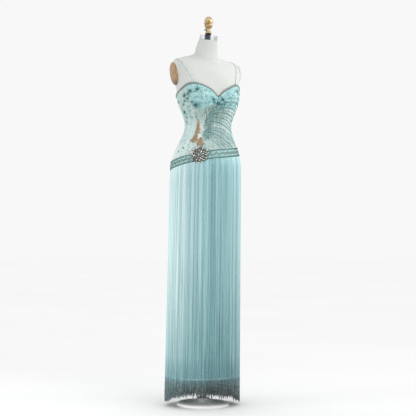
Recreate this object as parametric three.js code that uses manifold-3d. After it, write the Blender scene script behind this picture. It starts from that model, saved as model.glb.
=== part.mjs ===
// A fringed evening gown on a limbless dress form.
// Millimetres, +Z up. The front faces -Y and the wearer's left is +X. The origin is the centre of
// the stand's base, on the floor. Angles run round the body in degrees from the front (0) towards
// the wearer's left (90), so that the wearer's right is negative.
import * as THREE from "three";
import { mergeVertices } from "three/addons/utils/BufferGeometryUtils.js";
import Module from "manifold-3d";

const wasm = await Module();
wasm.setup();

// Clearances and cloth
const SEAM_GAP = 0.3;
const LAYER_GAP = 0.8;
const CLEAR_OF_FORM = 2;
const NET_THICKNESS = 1.6;
const BINDING_THICKNESS = 2.6;
const BINDING_HEIGHT = 4.2;
const BELT_THICKNESS = 2;
const BELT_HEIGHT = 39;
const STRAP_WIDTH = 6;
const STRAP_THICKNESS = 1.5;
const SECOND_LAYER = CLEAR_OF_FORM + NET_THICKNESS + LAYER_GAP;
const BROOCH_INNER = SECOND_LAYER + BELT_THICKNESS + LAYER_GAP;

// Panel seams, as angles from the centre front
const FRONT_SEAM = 24;
const SIDE_FRONT_SEAM = 61;
const SIDE_BACK_SEAM = 112;

// Skirt
const SLIP_HEM_HEIGHT = 124;
const HIP_HEIGHT = 1080;
const FRINGE_HEADING = 12;
const FRINGE_STRANDS = 120;
const STRAND_WIDTH = 5.4;
const STRAND_DEPTH = 1.4;
const STRAND_TIP_LOW = 9;
const STRAND_TIP_HIGH = 44;
const STRAND_INSET = 0.3;
const STRAND_POINT = { length: 30, share: 0.35 };
const STRAND_KNEE_DROP = 10;
const STRAND_LONG_SPAN = 30;
const FRINGE_FLARE = 9;
const FRINGE_END_MARGIN = 1.2;
const SIDE_LENGTHENING = 0.55;

// Two waves that together make the strands' ends uneven
const TIP_MEAN = 0.5;
const TIP_WAVES = [
  { share: 0.3, turn: 2.4, start: 0 },
  { share: 0.2, turn: 5.1, start: 1 },
];

// Stand
const POLE_RADIUS = 16;
const BASE_RADIUS = 118;

// How finely the round pieces are divided
const FORM_COLUMNS = 40;
const BELT_COLUMNS = 22;
const SLIP_COLUMNS = 18;
const HEADING_COLUMNS = 32;
const CENTRE_COLUMNS = 6;
const BODICE_ROWS = 9;
const CUP_ROWS = 6;
const BELT_ROWS = 3;
const HIP_SAMPLES = 360;
const SEAM_RADIUS = 110;
const NORMAL_STEP = 0.5;
const WELD = 1e-4;

// Sections of the dress form. Each is an oval with the given half width that reaches that far to
// the front and back of the origin. Its plane climbs towards the back by tip per millimetre.
const SQUARENESS = 2.2;
const FORM_SECTIONS = [
  { height: 980, halfWidth: 148, front: 108, back: 118, tip: 0 },
  { height: 1035, halfWidth: 157, front: 112, back: 125, tip: 0 },
  { height: 1085, halfWidth: 160, front: 113, back: 127, tip: 0 },
  { height: 1110, halfWidth: 158, front: 112, back: 124, tip: 0 },
  { height: 1137, halfWidth: 153, front: 110, back: 118, tip: 0 },
  { height: 1164, halfWidth: 145, front: 107, back: 108, tip: 0 },
  { height: 1191, halfWidth: 134, front: 102, back: 97, tip: 0 },
  { height: 1219, halfWidth: 121, front: 97, back: 86, tip: 0 },
  { height: 1250, halfWidth: 109, front: 92, back: 76, tip: 0 },
  { height: 1282, halfWidth: 104, front: 90, back: 71, tip: 0 },
  { height: 1312, halfWidth: 110, front: 95, back: 74, tip: 0 },
  { height: 1343, halfWidth: 122, front: 101, back: 81, tip: 0 },
  { height: 1380, halfWidth: 136, front: 105, back: 92, tip: 0 },
  { height: 1420, halfWidth: 146, front: 106, back: 101, tip: 0 },
  { height: 1455, halfWidth: 149, front: 101, back: 107, tip: 0 },
  { height: 1495, halfWidth: 162, front: 88, back: 110, tip: 0.03 },
  { height: 1528, halfWidth: 168, front: 72, back: 104, tip: 0.1 },
  { height: 1551, halfWidth: 167, front: 58, back: 94, tip: 0.22 },
  { height: 1568, halfWidth: 158, front: 48, back: 82, tip: 0.33 },
  { height: 1578, halfWidth: 125, front: 42, back: 76, tip: 0.4 },
  { height: 1588, halfWidth: 76, front: 38, back: 70, tip: 0.44 },
  { height: 1600, halfWidth: 56, front: 35, back: 64, tip: 0.48 },
  { height: 1622, halfWidth: 51, front: 35, back: 61, tip: 0.46 },
  { height: 1652, halfWidth: 46, front: 37, back: 52, tip: 0.31 },
  { height: 1681, halfWidth: 41, front: 42, back: 38, tip: 0.185 },
];
const FORM_BOTTOM = FORM_SECTIONS[0].height;
const NECK_TOP = FORM_SECTIONS.at(-1);

// Rings of the form's skin between its sections, where it turns quickly
const FORM_EXTRA_RINGS = [1010, 1062, 1361, 1398, 1438, 1462, 1477];

// The bust: two rounded swells that are fuller below than above. The cups stand a little prouder
// than the form inside them.
const BUST = { height: 1408, apart: 84, width: 46, above: 52, below: 38, swell: 25 };
const FORM_SWELL = 21;

// The armholes are cut by leaning planes: distance from the centre at their bottom and top
const ARMHOLE = {
  low: 1462,
  high: 1562,
  lowX: 146,
  highX: 164,
  flareBelow: 0.6,
  blend: 5,
  depthCentre: 22,
};

// The slip below the hips: half width and half depth at each height
const SLIP_SECTIONS = [
  { height: 124, halfWidth: 108, halfDepth: 85, centre: 3 },
  { height: 420, halfWidth: 121, halfDepth: 96, centre: 4 },
  { height: 720, halfWidth: 138, halfDepth: 108, centre: 6 },
  { height: 980, halfWidth: 157, halfDepth: 120, centre: 7 },
];
const SLIP_HIP_LEVELS = [1030, 1060];
const SLIP_YOKE_BOTTOM = 1085;
const SLIP_YOKE_ROWS = 3;

// The top edge of the bodice, the same on both sides
const NECKLINE = [
  { angle: 0, height: 1410 },
  { angle: 9, height: 1436 },
  { angle: 20, height: 1453 },
  { angle: 31, height: 1465 },
  { angle: 41, height: 1470 },
  { angle: 55, height: 1465 },
  { angle: 69, height: 1452 },
  { angle: 85, height: 1436 },
  { angle: 100, height: 1421 },
  { angle: 125, height: 1406 },
  { angle: 150, height: 1398 },
  { angle: 180, height: 1395 },
];

// The seam under each cup, from the centre front to the side of the cup
const CUP_SEAM = [
  { angle: 0, height: 1384 },
  { angle: 20, height: 1364 },
  { angle: 38, height: 1354 },
  { angle: 50, height: 1372 },
  { angle: 61, height: 1410 },
];

// The belt's lower edge, all the way round
const BELT_EDGE = [
  { angle: -180, height: 1112 },
  { angle: -150, height: 1091 },
  { angle: -130, height: 1079 },
  { angle: -111, height: 1074 },
  { angle: -90, height: 1084 },
  { angle: -67, height: 1098 },
  { angle: -47, height: 1109 },
  { angle: -19, height: 1123 },
  { angle: -5, height: 1131 },
  { angle: 30, height: 1141 },
  { angle: 69, height: 1149 },
  { angle: 95, height: 1151 },
  { angle: 120, height: 1147 },
  { angle: 150, height: 1133 },
  { angle: 180, height: 1112 },
];

// The straps run from the top of each cup over the shoulder to the back of the bodice
const STRAP = {
  frontX: 103,
  shoulderX: 139,
  shoulderHeight: 1574,
  backX: 92,
  backAngle: 140,
  clearOfBinding: 1.5,
  steps: 11,
};

// The brooch, drawn as a flower of petals round a centre on the belt
const BROOCH = { angle: -31, height: 1144, across: 33, tall: 38, petals: 8, notch: 0.13 };
const BROOCH_RINGS = [
  { share: 0.2, out: 0 },
  { share: 0.6, out: 0 },
  { share: 0.97, out: 0 },
  { share: 1, out: 2 },
  { share: 0.86, out: 4.5 },
  { share: 0.6, out: 4 },
  { share: 0.4, out: 7 },
];

// Turned and round parts, as radius and height pairs from the bottom up
const CAP_PROFILE = [
  { radius: 0, height: 0 },
  { radius: 41, height: 0 },
  { radius: 41, height: 18 },
  { radius: 39, height: 20.5 },
  { radius: 0, height: 20.5 },
];
const FINIAL_BOTTOM = 1709;
const FINIAL_PROFILE = [
  { radius: 0, height: 0 },
  { radius: 14.5, height: 0 },
  { radius: 14.5, height: 4 },
  { radius: 11, height: 9 },
  { radius: 10.5, height: 16 },
  { radius: 14, height: 24 },
  { radius: 19, height: 33 },
  { radius: 20, height: 43 },
  { radius: 19, height: 48 },
  { radius: 21.5, height: 50 },
  { radius: 20.5, height: 54 },
  { radius: 19, height: 64 },
  { radius: 13, height: 73 },
  { radius: 0, height: 77 },
];
const FINIAL_SCREW = { radius: 4.5, length: 8, height: 1724, standOff: 12.8 };
const COLLAR_RADIUS = 14;
const PLATE = { halfHeight: 52, halfDepth: 39, dome: 13, centreHeight: 1516.5, gap: 0.6 };
const PLATE_PROFILE = [
  { radius: 0, height: 0 },
  { radius: 0.94, height: 0 },
  { radius: 1, height: 0.2 },
  { radius: 1, height: 0.45 },
  { radius: 0.88, height: 0.75 },
  { radius: 0.55, height: 0.95 },
  { radius: 0, height: 1 },
];
const BASE_PROFILE = [
  { radius: 0, height: 0 },
  { radius: BASE_RADIUS, height: 0 },
  { radius: BASE_RADIUS, height: 9 },
  { radius: BASE_RADIUS - 6, height: 13 },
  { radius: 44, height: 19 },
  { radius: 27, height: 34 },
  { radius: 0, height: 34 },
];
const BASE_TOP = BASE_PROFILE.at(-1).height;

const FINISHES = {
  net: { color: 0xc5cfcb, roughness: 0.7, metalness: 0 },
  cup: { color: 0xa5d2d3, roughness: 0.5, metalness: 0 },
  beaded: { color: 0x8fb5b3, roughness: 0.35, metalness: 0.2 },
  crystal: { color: 0x9aa09c, roughness: 0.15, metalness: 0.6 },
  strap: { color: 0xc6e0df, roughness: 0.5, metalness: 0 },
  slip: { color: 0x9cc9cc, roughness: 0.45, metalness: 0 },
  fringe: { color: 0x9ac6ca, roughness: 0.5, metalness: 0 },
  formCloth: { color: 0xdbdcda, roughness: 0.85, metalness: 0 },
  chrome: { color: 0xc1c3c4, roughness: 0.15, metalness: 1 },
  gilt: { color: 0xc3a981, roughness: 0.3, metalness: 0.8 },
  wood: { color: 0xaf9472, roughness: 0.5, metalness: 0 },
  darkMetal: { color: 0x2f3337, roughness: 0.5, metalness: 0.7 },
};

const radians = THREE.MathUtils.degToRad;

// A smooth value between the rows of a table, by cubic curves that pass through each row.
function between(rows, key, column, at) {
  const last = rows.length - 1;
  const here = THREE.MathUtils.clamp(at, rows[0][key], rows[last][key]);
  let i = 0;
  while (i < last - 1 && here > rows[i + 1][key]) i++;
  const slope = (j) => {
    const low = Math.max(0, j - 1);
    const high = Math.min(last, j + 1);
    return (rows[high][column] - rows[low][column]) / (rows[high][key] - rows[low][key]);
  };
  const span = rows[i + 1][key] - rows[i][key];
  const s = (here - rows[i][key]) / span;
  const s2 = s * s;
  const s3 = s2 * s;
  return (
    (2 * s3 - 3 * s2 + 1) * rows[i][column] +
    (s3 - 2 * s2 + s) * span * slope(i) +
    (3 * s2 - 2 * s3) * rows[i + 1][column] +
    (s3 - s2) * span * slope(i + 1)
  );
}

const necklineHeight = (angle) => between(NECKLINE, "angle", "height", foldedAngle(angle));
const cupSeamHeight = (angle) => between(CUP_SEAM, "angle", "height", foldedAngle(angle));
const beltLowHeight = (angle) => between(BELT_EDGE, "angle", "height", wrappedAngle(angle));

// An angle brought back to -180..180, and its distance from the centre front.
function wrappedAngle(angle) {
  return angle - 360 * Math.round(angle / 360);
}

function foldedAngle(angle) {
  return Math.abs(wrappedAngle(angle));
}

// A point on an oval, by its angle.
function ovalPoint(angle, halfWidth, halfDepth, centre) {
  const power = 2 / SQUARENESS;
  const side = Math.sin(radians(angle));
  const ahead = Math.cos(radians(angle));
  return {
    x: halfWidth * Math.sign(side) * Math.abs(side) ** power,
    y: centre - halfDepth * Math.sign(ahead) * Math.abs(ahead) ** power,
  };
}

// How far the bust stands forward of the plain oval.
function bustSwell(x, angle, height, swell) {
  const sideways = (Math.abs(x) - BUST.apart) / BUST.width;
  const rise = height - BUST.height;
  const upward = rise / (rise > 0 ? BUST.above : BUST.below);
  const facing = Math.max(0, Math.cos(radians(angle))) ** 0.5;
  return swell * facing * Math.exp(-sideways * sideways - upward * upward);
}

// The armhole plane's distance from the centre at a height. Below it the body comes out again.
function armholeReach(height) {
  const slope = (ARMHOLE.highX - ARMHOLE.lowX) / (ARMHOLE.high - ARMHOLE.low);
  if (height >= ARMHOLE.low) return ARMHOLE.lowX + slope * (height - ARMHOLE.low);
  return ARMHOLE.lowX + ARMHOLE.flareBelow * (ARMHOLE.low - height);
}

// The smaller of two values, rounded off where they are close.
function softMinimum(a, b, blend) {
  const overlap = Math.max(blend - Math.abs(a - b), 0) / blend;
  return Math.min(a, b) - overlap * overlap * blend * 0.25;
}

// A point on the dress form, moved out by a clearance, with the cups' swell or the form's own.
function formPoint(angle, height, out = 0, swell = BUST.swell) {
  const at = (column) => between(FORM_SECTIONS, "height", column, height);
  const front = at("front");
  const back = at("back");
  const centre = (back - front) / 2;
  const oval = ovalPoint(angle, at("halfWidth") + out, (front + back) / 2 + out, centre);
  const reach = softMinimum(Math.abs(oval.x), armholeReach(height) + out, ARMHOLE.blend);
  const y = oval.y - bustSwell(oval.x, angle, height, swell);
  return new THREE.Vector3(Math.sign(oval.x) * reach, y, height + at("tip") * y);
}

// The widest that the body has been from the waist down to a height: how a hanging curtain falls.
function hangingPoint(angle, height, out) {
  const widest = Math.max(height, HIP_HEIGHT);
  const point = formPoint(angle, widest, out);
  point.z = height;
  return point;
}

// A point on the slip: on the form down to the form's bottom, then on its own narrowing tube.
function slipPoint(angle, height, out) {
  if (height >= FORM_BOTTOM) return formPoint(angle, height, CLEAR_OF_FORM + out);
  const at = (column) => between(SLIP_SECTIONS, "height", column, height);
  const oval = ovalPoint(angle, at("halfWidth") + out, at("halfDepth") + out, at("centre"));
  return new THREE.Vector3(oval.x, oval.y, height);
}

// Evenly spaced values from one end to the other.
function steps(from, to, count) {
  return Array.from({ length: count + 1 }, (_, i) => from + ((to - from) * i) / count);
}

// A geometry from triangles given as three points each.
function geometryOf(triangles) {
  const geometry = new THREE.BufferGeometry().setFromPoints(triangles.flat());
  return mergeVertices(geometry, WELD);
}

// Two triangles for a four-sided face, seen anticlockwise from outside.
function face(a, b, c, d) {
  return [
    [a, b, c],
    [a, c, d],
  ];
}

// A wall between two grids of points, each grid[column][row] with columns running anticlockwise
// seen from above and rows running up. A ring closes on its first column.
function wall(inner, outer, ring = false) {
  const triangles = [];
  const columns = outer.length;
  const top = outer[0].length - 1;
  const spans = ring ? columns : columns - 1;
  for (let c = 0; c < spans; c++) {
    const n = (c + 1) % columns;
    for (let r = 0; r < top; r++) {
      triangles.push(...face(outer[c][r], outer[n][r], outer[n][r + 1], outer[c][r + 1]));
      triangles.push(...face(inner[n][r], inner[c][r], inner[c][r + 1], inner[n][r + 1]));
    }
    triangles.push(...face(outer[c][0], inner[c][0], inner[n][0], outer[n][0]));
    triangles.push(...face(inner[c][top], outer[c][top], outer[n][top], inner[n][top]));
  }
  if (!ring) {
    const end = columns - 1;
    for (let r = 0; r < top; r++) {
      triangles.push(...face(inner[0][r], outer[0][r], outer[0][r + 1], inner[0][r + 1]));
      triangles.push(...face(outer[end][r], inner[end][r], inner[end][r + 1], outer[end][r + 1]));
    }
  }
  return geometryOf(triangles);
}

// A panel of cloth on the body. point(angle, height, out) gives the surface, low and high give
// its edges at each angle, levels the heights between them, and inner and thickness the wall.
function panel(shape) {
  const { angles, rows, low, high, inner, thickness, point = formPoint, ring = false } = shape;
  const { levels = (from, to) => steps(from, to, rows) } = shape;
  const grid = (out) =>
    angles.map((angle) =>
      levels(low(angle), high(angle)).map((height) => point(angle, height, out)),
    );
  return wall(grid(inner), grid(inner + thickness), ring);
}

// A closed body through rings of points, capped flat at both ends.
function loft(rings) {
  const triangles = [];
  const count = rings[0].length;
  const middle = (ring) =>
    ring.reduce((sum, p) => sum.add(p), new THREE.Vector3()).multiplyScalar(1 / count);
  const bottom = middle(rings[0]);
  const top = middle(rings.at(-1));
  for (let i = 0; i < count; i++) {
    const n = (i + 1) % count;
    for (let r = 0; r < rings.length - 1; r++) {
      triangles.push(...face(rings[r][i], rings[r][n], rings[r + 1][n], rings[r + 1][i]));
    }
    if (count > 3) {
      triangles.push([bottom, rings[0][n], rings[0][i]]);
      triangles.push([top, rings.at(-1)[i], rings.at(-1)[n]]);
    }
  }
  if (count === 3) triangles.push([...rings[0]].reverse(), rings.at(-1));
  return geometryOf(triangles);
}

// A turned solid that stands on the XY plane.
function turned(profile, segments) {
  const points = profile.map((p) => new THREE.Vector2(p.radius, p.height));
  const geometry = new THREE.LatheGeometry(points, segments);
  geometry.rotateX(Math.PI / 2);
  geometry.deleteAttribute("normal");
  geometry.deleteAttribute("uv");
  return mergeVertices(geometry, WELD);
}

// Joins closed geometries into one.
function joined(geometries) {
  const solids = geometries.map((geometry) => {
    const merged = mergeVertices(geometry, WELD);
    const vertProperties = new Float32Array(merged.attributes.position.array);
    const triVerts = new Uint32Array(merged.index.array);
    return new wasm.Manifold(new wasm.Mesh({ numProp: 3, vertProperties, triVerts }));
  });
  const mesh = wasm.Manifold.union(solids).getMesh();
  const geometry = new THREE.BufferGeometry();
  geometry.setAttribute("position", new THREE.BufferAttribute(mesh.vertProperties, 3));
  geometry.setIndex(new THREE.BufferAttribute(mesh.triVerts, 1));
  return geometry;
}

const gown = new THREE.Group();
const stand = new THREE.Group();

function add(group, name, geometry, finish) {
  const mesh = new THREE.Mesh(geometry, new THREE.MeshStandardMaterial(FINISHES[finish]));
  mesh.name = name;
  group.add(mesh);
  return mesh;
}

// Half a seam's gap as an angle, on a body about this wide.
const HALF_SEAM_ANGLE = THREE.MathUtils.radToDeg(SEAM_GAP / 2 / SEAM_RADIUS);

// --- Bodice ---------------------------------------------------------------------------------

const waistSeamHeight = (angle) => beltLowHeight(angle) + BELT_HEIGHT / 2;
const panelTop = (angle) => necklineHeight(angle) - BINDING_HEIGHT - SEAM_GAP;
const underCup = (angle) => cupSeamHeight(angle) - SEAM_GAP;
const net = { inner: CLEAR_OF_FORM, thickness: NET_THICKNESS };

function seamed(from, to, count) {
  return steps(from + HALF_SEAM_ANGLE, to - HALF_SEAM_ANGLE, count);
}

// The same columns on both sides of each seam, so that neighbouring edges lie side by side.
const FRONT_COLUMNS = steps(0, FRONT_SEAM, 3);
const SIDE_FRONT_COLUMNS = steps(FRONT_SEAM, SIDE_FRONT_SEAM, 5);
const CUP_COLUMNS = [...FRONT_COLUMNS, ...SIDE_FRONT_COLUMNS.slice(1)];
const SIDE_COLUMNS = steps(SIDE_FRONT_SEAM, SIDE_BACK_SEAM, 6);
const BACK_COLUMNS = steps(SIDE_BACK_SEAM, 180, 7);

// Columns on one side of the body, drawn in at both ends by half a seam's gap.
function columnsOn(side, columns) {
  const drawnIn = [...columns];
  drawnIn[0] += HALF_SEAM_ANGLE;
  drawnIn[columns.length - 1] -= HALF_SEAM_ANGLE;
  return side < 0 ? drawnIn.reverse().map((angle) => -angle) : drawnIn;
}

function addBodice() {
  const angles = seamed(-FRONT_SEAM, FRONT_SEAM, CENTRE_COLUMNS);
  const centre = { ...net, angles, rows: BODICE_ROWS };
  const geometry = panel({ ...centre, low: waistSeamHeight, high: underCup });
  add(gown, "bodice_front", geometry, "net");
  for (const side of [-1, 1]) {
    const name = side < 0 ? "right" : "left";
    const seam = side * SIDE_FRONT_SEAM;
    const share =
      (underCup(seam) - waistSeamHeight(seam)) / (panelTop(seam) - waistSeamHeight(seam));
    const levels = (low, high) => {
      const cupLevel = low + (high - low) * share;
      return [...steps(low, cupLevel, BODICE_ROWS), ...steps(cupLevel, high, 2).slice(1)];
    };
    const pieces = {
      bodice_side_front: { columns: SIDE_FRONT_COLUMNS, rows: BODICE_ROWS, high: underCup },
      bodice_side: { columns: SIDE_COLUMNS, levels, high: panelTop },
      bodice_back: { columns: BACK_COLUMNS, levels, high: panelTop },
    };
    for (const [piece, shape] of Object.entries(pieces)) {
      const angles = columnsOn(side, shape.columns);
      const cloth = panel({ ...net, ...shape, angles, low: waistSeamHeight });
      add(gown, piece + "_" + name, cloth, "net");
    }
    const cup = { ...net, angles: columnsOn(side, CUP_COLUMNS), rows: CUP_ROWS };
    add(gown, "cup_" + name, panel({ ...cup, low: cupSeamHeight, high: panelTop }), "cup");
  }
}

function addBinding() {
  const half = [...CUP_COLUMNS, ...SIDE_COLUMNS.slice(1), ...BACK_COLUMNS.slice(1)];
  const otherHalf = half.slice(1, -1).map((angle) => -angle);
  const geometry = panel({
    angles: [...otherHalf.reverse(), ...half],
    rows: 1,
    low: (angle) => necklineHeight(angle) - BINDING_HEIGHT,
    high: necklineHeight,
    inner: CLEAR_OF_FORM,
    thickness: BINDING_THICKNESS,
    ring: true,
  });
  add(gown, "neckline_binding", geometry, "beaded");
}

// --- Straps ---------------------------------------------------------------------------------

// The angle at which the form reaches a distance from the centre, on its front or its back.
function angleAt(x, height, behind) {
  const halfWidth = between(FORM_SECTIONS, "height", "halfWidth", height);
  const share = Math.min(1, Math.abs(x) / halfWidth) ** (SQUARENESS / 2);
  const angle = THREE.MathUtils.radToDeg(Math.asin(share)) * Math.sign(x);
  return behind ? Math.sign(x) * 180 - angle : angle;
}

// The form's surface and its outward direction at an angle and height.
function formNormal(angle, height) {
  const ahead = formPoint(angle + NORMAL_STEP, height);
  const behind = formPoint(angle - NORMAL_STEP, height);
  const above = formPoint(angle, height + NORMAL_STEP);
  const below = formPoint(angle, height - NORMAL_STEP);
  const across = ahead.sub(behind);
  const up = above.sub(below);
  return across.cross(up).normalize();
}

function strapPath(side) {
  const { frontX, shoulderX, shoulderHeight, backX, backAngle, clearOfBinding } = STRAP;
  const cupTop = Math.max(...NECKLINE.map((row) => row.height));
  const frontHeight = necklineHeight(angleAt(frontX, cupTop, false)) + clearOfBinding;
  const backHeight = necklineHeight(backAngle) + clearOfBinding;
  const leg = (x, height, behind) =>
    steps(1, 0, STRAP.steps).map((left) => {
      const s = 1 - left * left;
      const atX = THREE.MathUtils.lerp(x, shoulderX, s);
      const atHeight = THREE.MathUtils.lerp(height, shoulderHeight, s);
      return { angle: angleAt(side * atX, atHeight, behind), height: atHeight };
    });
  const front = leg(frontX, frontHeight, false);
  const back = leg(backX, backHeight, true);
  return [...front, ...back.reverse()];
}

function strapGeometry(side) {
  const path = strapPath(side).map(({ angle, height }) => {
    const normal = formNormal(angle, height);
    return { normal, point: formPoint(angle, height).addScaledVector(normal, CLEAR_OF_FORM) };
  });
  const rings = path.map(({ normal, point }, i) => {
    const ahead = path[Math.min(i + 1, path.length - 1)].point;
    const behind = path[Math.max(i - 1, 0)].point;
    const along = ahead.clone().sub(behind).normalize();
    const across = along.clone().cross(normal).normalize();
    const corner = (sideways, out) =>
      point
        .clone()
        .addScaledVector(across, (sideways * STRAP_WIDTH) / 2)
        .addScaledVector(normal, out * STRAP_THICKNESS);
    return [corner(-1, 0), corner(-1, 1), corner(1, 1), corner(1, 0)];
  });
  return loft(rings);
}

// --- Belt and brooch --------------------------------------------------------------------------

function addBelt() {
  const belt = {
    rows: BELT_ROWS,
    low: beltLowHeight,
    high: (angle) => beltLowHeight(angle) + BELT_HEIGHT,
    inner: SECOND_LAYER,
    thickness: BELT_THICKNESS,
  };
  const front = panel({ ...belt, angles: seamed(-90, 90, BELT_COLUMNS) });
  const back = panel({ ...belt, angles: seamed(90, 270, BELT_COLUMNS) });
  add(gown, "belt_front", front, "beaded");
  add(gown, "belt_back", back, "beaded");
}

function addBrooch() {
  const spokes = BROOCH.petals * 4;
  const middle = formPoint(BROOCH.angle, BROOCH.height);
  const girth = Math.hypot(middle.x, middle.y);
  const ringAt = (share, out) =>
    steps(0, 360, spokes)
      .slice(0, -1)
      .map((turn) => {
        const petal = 1 - BROOCH.notch * (1 - Math.cos(radians(turn * BROOCH.petals))) * share;
        const sideways = BROOCH.across * share * petal * Math.cos(radians(turn));
        const up = BROOCH.tall * share * petal * Math.sin(radians(turn));
        const angle = BROOCH.angle + THREE.MathUtils.radToDeg(sideways / girth);
        return formPoint(angle, BROOCH.height + up, out);
      });
  const rings = BROOCH_RINGS.map(({ share, out }) => ringAt(share, BROOCH_INNER + out));
  add(gown, "brooch", loft(rings.reverse().map((ring) => ring.reverse())), "crystal");
}

// --- Slip and fringe --------------------------------------------------------------------------

function addSlip() {
  const below = SLIP_SECTIONS.map((section) => section.height);
  const slip = {
    levels: (low, high) => {
      const yoke = steps(SLIP_YOKE_BOTTOM, high, SLIP_YOKE_ROWS);
      return [low, ...below.slice(1), ...SLIP_HIP_LEVELS, ...yoke];
    },
    low: () => SLIP_HEM_HEIGHT,
    high: (angle) => waistSeamHeight(angle) - SEAM_GAP * 3,
    inner: 0,
    thickness: NET_THICKNESS,
    point: slipPoint,
  };
  const front = panel({ ...slip, angles: seamed(-90, 90, SLIP_COLUMNS) });
  const back = panel({ ...slip, angles: seamed(90, 270, SLIP_COLUMNS) });
  add(gown, "slip_front", front, "slip");
  add(gown, "slip_back", back, "slip");
}

// Angles that are the same distance apart round the hips.
function evenAngles(from, to, count) {
  const fine = steps(from, to, HIP_SAMPLES);
  const points = fine.map((angle) => hangingPoint(angle, HIP_HEIGHT, 0));
  const lengths = [0];
  for (let i = 1; i < fine.length; i++) {
    lengths.push(lengths[i - 1] + points[i].distanceTo(points[i - 1]));
  }
  return Array.from({ length: count }, (_, i) => {
    const target = (lengths.at(-1) * (i + 0.5)) / count;
    return fine[lengths.findIndex((length) => length >= target)];
  });
}

// Where the strands end: uneven, as cut and worn thread ends are, and longer at the sides.
function strandTip(index, angle) {
  const wave = (sum, { share, turn, start }) => sum + share * Math.sin(index * turn + start);
  const uneven = TIP_WAVES.reduce(wave, TIP_MEAN);
  const sides = Math.sin(radians(angle)) ** 2;
  const share = uneven * (1 - SIDE_LENGTHENING * sides);
  return THREE.MathUtils.lerp(STRAND_TIP_LOW, STRAND_TIP_HIGH, share);
}

// One lock of fringe: a three-sided strand with a flat face outside, which ends in a point.
function strandGeometry(angle, index) {
  const root = beltLowHeight(angle) - SEAM_GAP - FRINGE_HEADING / 2;
  const bottom = strandTip(index, angle);
  const knee = Math.min(HIP_HEIGHT - STRAND_KNEE_DROP, root - FRINGE_HEADING);
  const bend = root - knee > STRAND_LONG_SPAN ? [(root + knee) / 2] : [];
  const heights = [bottom, bottom + STRAND_POINT.length, knee, ...bend, root];
  const rings = heights.map((height, i) => {
    const fall = Math.max(0, (HIP_HEIGHT - height) / HIP_HEIGHT);
    const out = SECOND_LAYER + STRAND_INSET + FRINGE_FLARE * fall;
    const point = hangingPoint(angle, height, out);
    const next = hangingPoint(angle + NORMAL_STEP, height, out);
    const across = next.sub(point).normalize();
    const outward = new THREE.Vector3(across.y, -across.x, 0);
    const size = i === 0 ? STRAND_POINT.share : 1;
    const corner = (sideways, out) =>
      point
        .clone()
        .addScaledVector(across, (sideways * STRAND_WIDTH * size) / 2)
        .addScaledVector(outward, out * STRAND_DEPTH * size);
    return [corner(0, 0), corner(-1, 1), corner(1, 1)];
  });
  return loft(rings);
}

function fringeGeometry(from, to) {
  const heading = panel({
    angles: seamed(from, to, HEADING_COLUMNS),
    rows: 1,
    low: (angle) => beltLowHeight(angle) - SEAM_GAP - FRINGE_HEADING,
    high: (angle) => beltLowHeight(angle) - SEAM_GAP,
    inner: SECOND_LAYER,
    thickness: BELT_THICKNESS,
    point: hangingPoint,
  });
  const first = from + FRINGE_END_MARGIN;
  const last = to - FRINGE_END_MARGIN;
  const strands = evenAngles(first, last, FRINGE_STRANDS / 2).map(strandGeometry);
  return joined([heading, ...strands]);
}

// --- Dress form -------------------------------------------------------------------------------

function addForm() {
  const sections = FORM_SECTIONS.map((section) => section.height);
  const heights = [...sections, ...FORM_EXTRA_RINGS];
  heights.sort((a, b) => a - b);
  const angles = steps(-180, 180, FORM_COLUMNS).slice(0, -1);
  const ringAt = (height) => angles.map((angle) => formPoint(angle, height, 0, FORM_SWELL));
  add(stand, "form_body", loft(heights.map(ringAt)), "formCloth");

  const lean = Math.atan(NECK_TOP.tip);
  const centre = (NECK_TOP.back - NECK_TOP.front) / 2;
  const capBottom = NECK_TOP.height + NECK_TOP.tip * centre + SEAM_GAP / Math.cos(lean);
  const cap = add(stand, "form_neck_cap", turned(CAP_PROFILE, 28), "chrome");
  cap.position.set(0, centre, capBottom);
  cap.rotation.x = lean;

  const capTop = capBottom + CAP_PROFILE.at(-1).height / Math.cos(lean) + SEAM_GAP;
  const collarRing = (height, slope) =>
    steps(0, 360, 16)
      .slice(0, -1)
      .map((turn) => {
        const x = COLLAR_RADIUS * Math.cos(radians(turn));
        const y = COLLAR_RADIUS * Math.sin(radians(turn));
        return new THREE.Vector3(x, y, height + slope * (y - centre));
      });
  const collar = loft([collarRing(capTop, NECK_TOP.tip), collarRing(FINIAL_BOTTOM - SEAM_GAP, 0)]);
  add(stand, "form_collar", collar, "darkMetal");

  add(stand, "form_finial", turned(FINIAL_PROFILE, 18), "gilt").position.z = FINIAL_BOTTOM;

  const { radius, length, height, standOff } = FINIAL_SCREW;
  const screw = new THREE.CylinderGeometry(radius, radius, length, 10);
  screw.rotateZ(Math.PI / 2);
  const screwX = -standOff - length / 2;
  add(stand, "form_finial_screw", screw, "darkMetal").position.set(screwX, 0, height);
}

function addArmPlates() {
  const slope = (ARMHOLE.highX - ARMHOLE.lowX) / (ARMHOLE.high - ARMHOLE.low);
  const lean = Math.atan(slope);
  for (const side of [-1, 1]) {
    const geometry = turned(PLATE_PROFILE, 24);
    geometry.scale(PLATE.halfHeight, PLATE.halfDepth, PLATE.dome);
    const name = side < 0 ? "arm_plate_right" : "arm_plate_left";
    const plate = add(stand, name, geometry, "wood");
    const reach = armholeReach(PLATE.centreHeight) + PLATE.gap / Math.cos(lean);
    plate.position.set(side * reach, ARMHOLE.depthCentre, PLATE.centreHeight);
    plate.rotation.y = side * (Math.PI / 2 + lean);
  }
}

function addStand() {
  add(stand, "stand_base", turned(BASE_PROFILE, 40), "darkMetal");
  const length = FORM_BOTTOM - BASE_TOP - 2 * SEAM_GAP;
  const pole = new THREE.CylinderGeometry(POLE_RADIUS, POLE_RADIUS, length, 16);
  pole.rotateX(Math.PI / 2);
  add(stand, "stand_pole", pole, "darkMetal").position.z = BASE_TOP + SEAM_GAP + length / 2;
}

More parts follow.
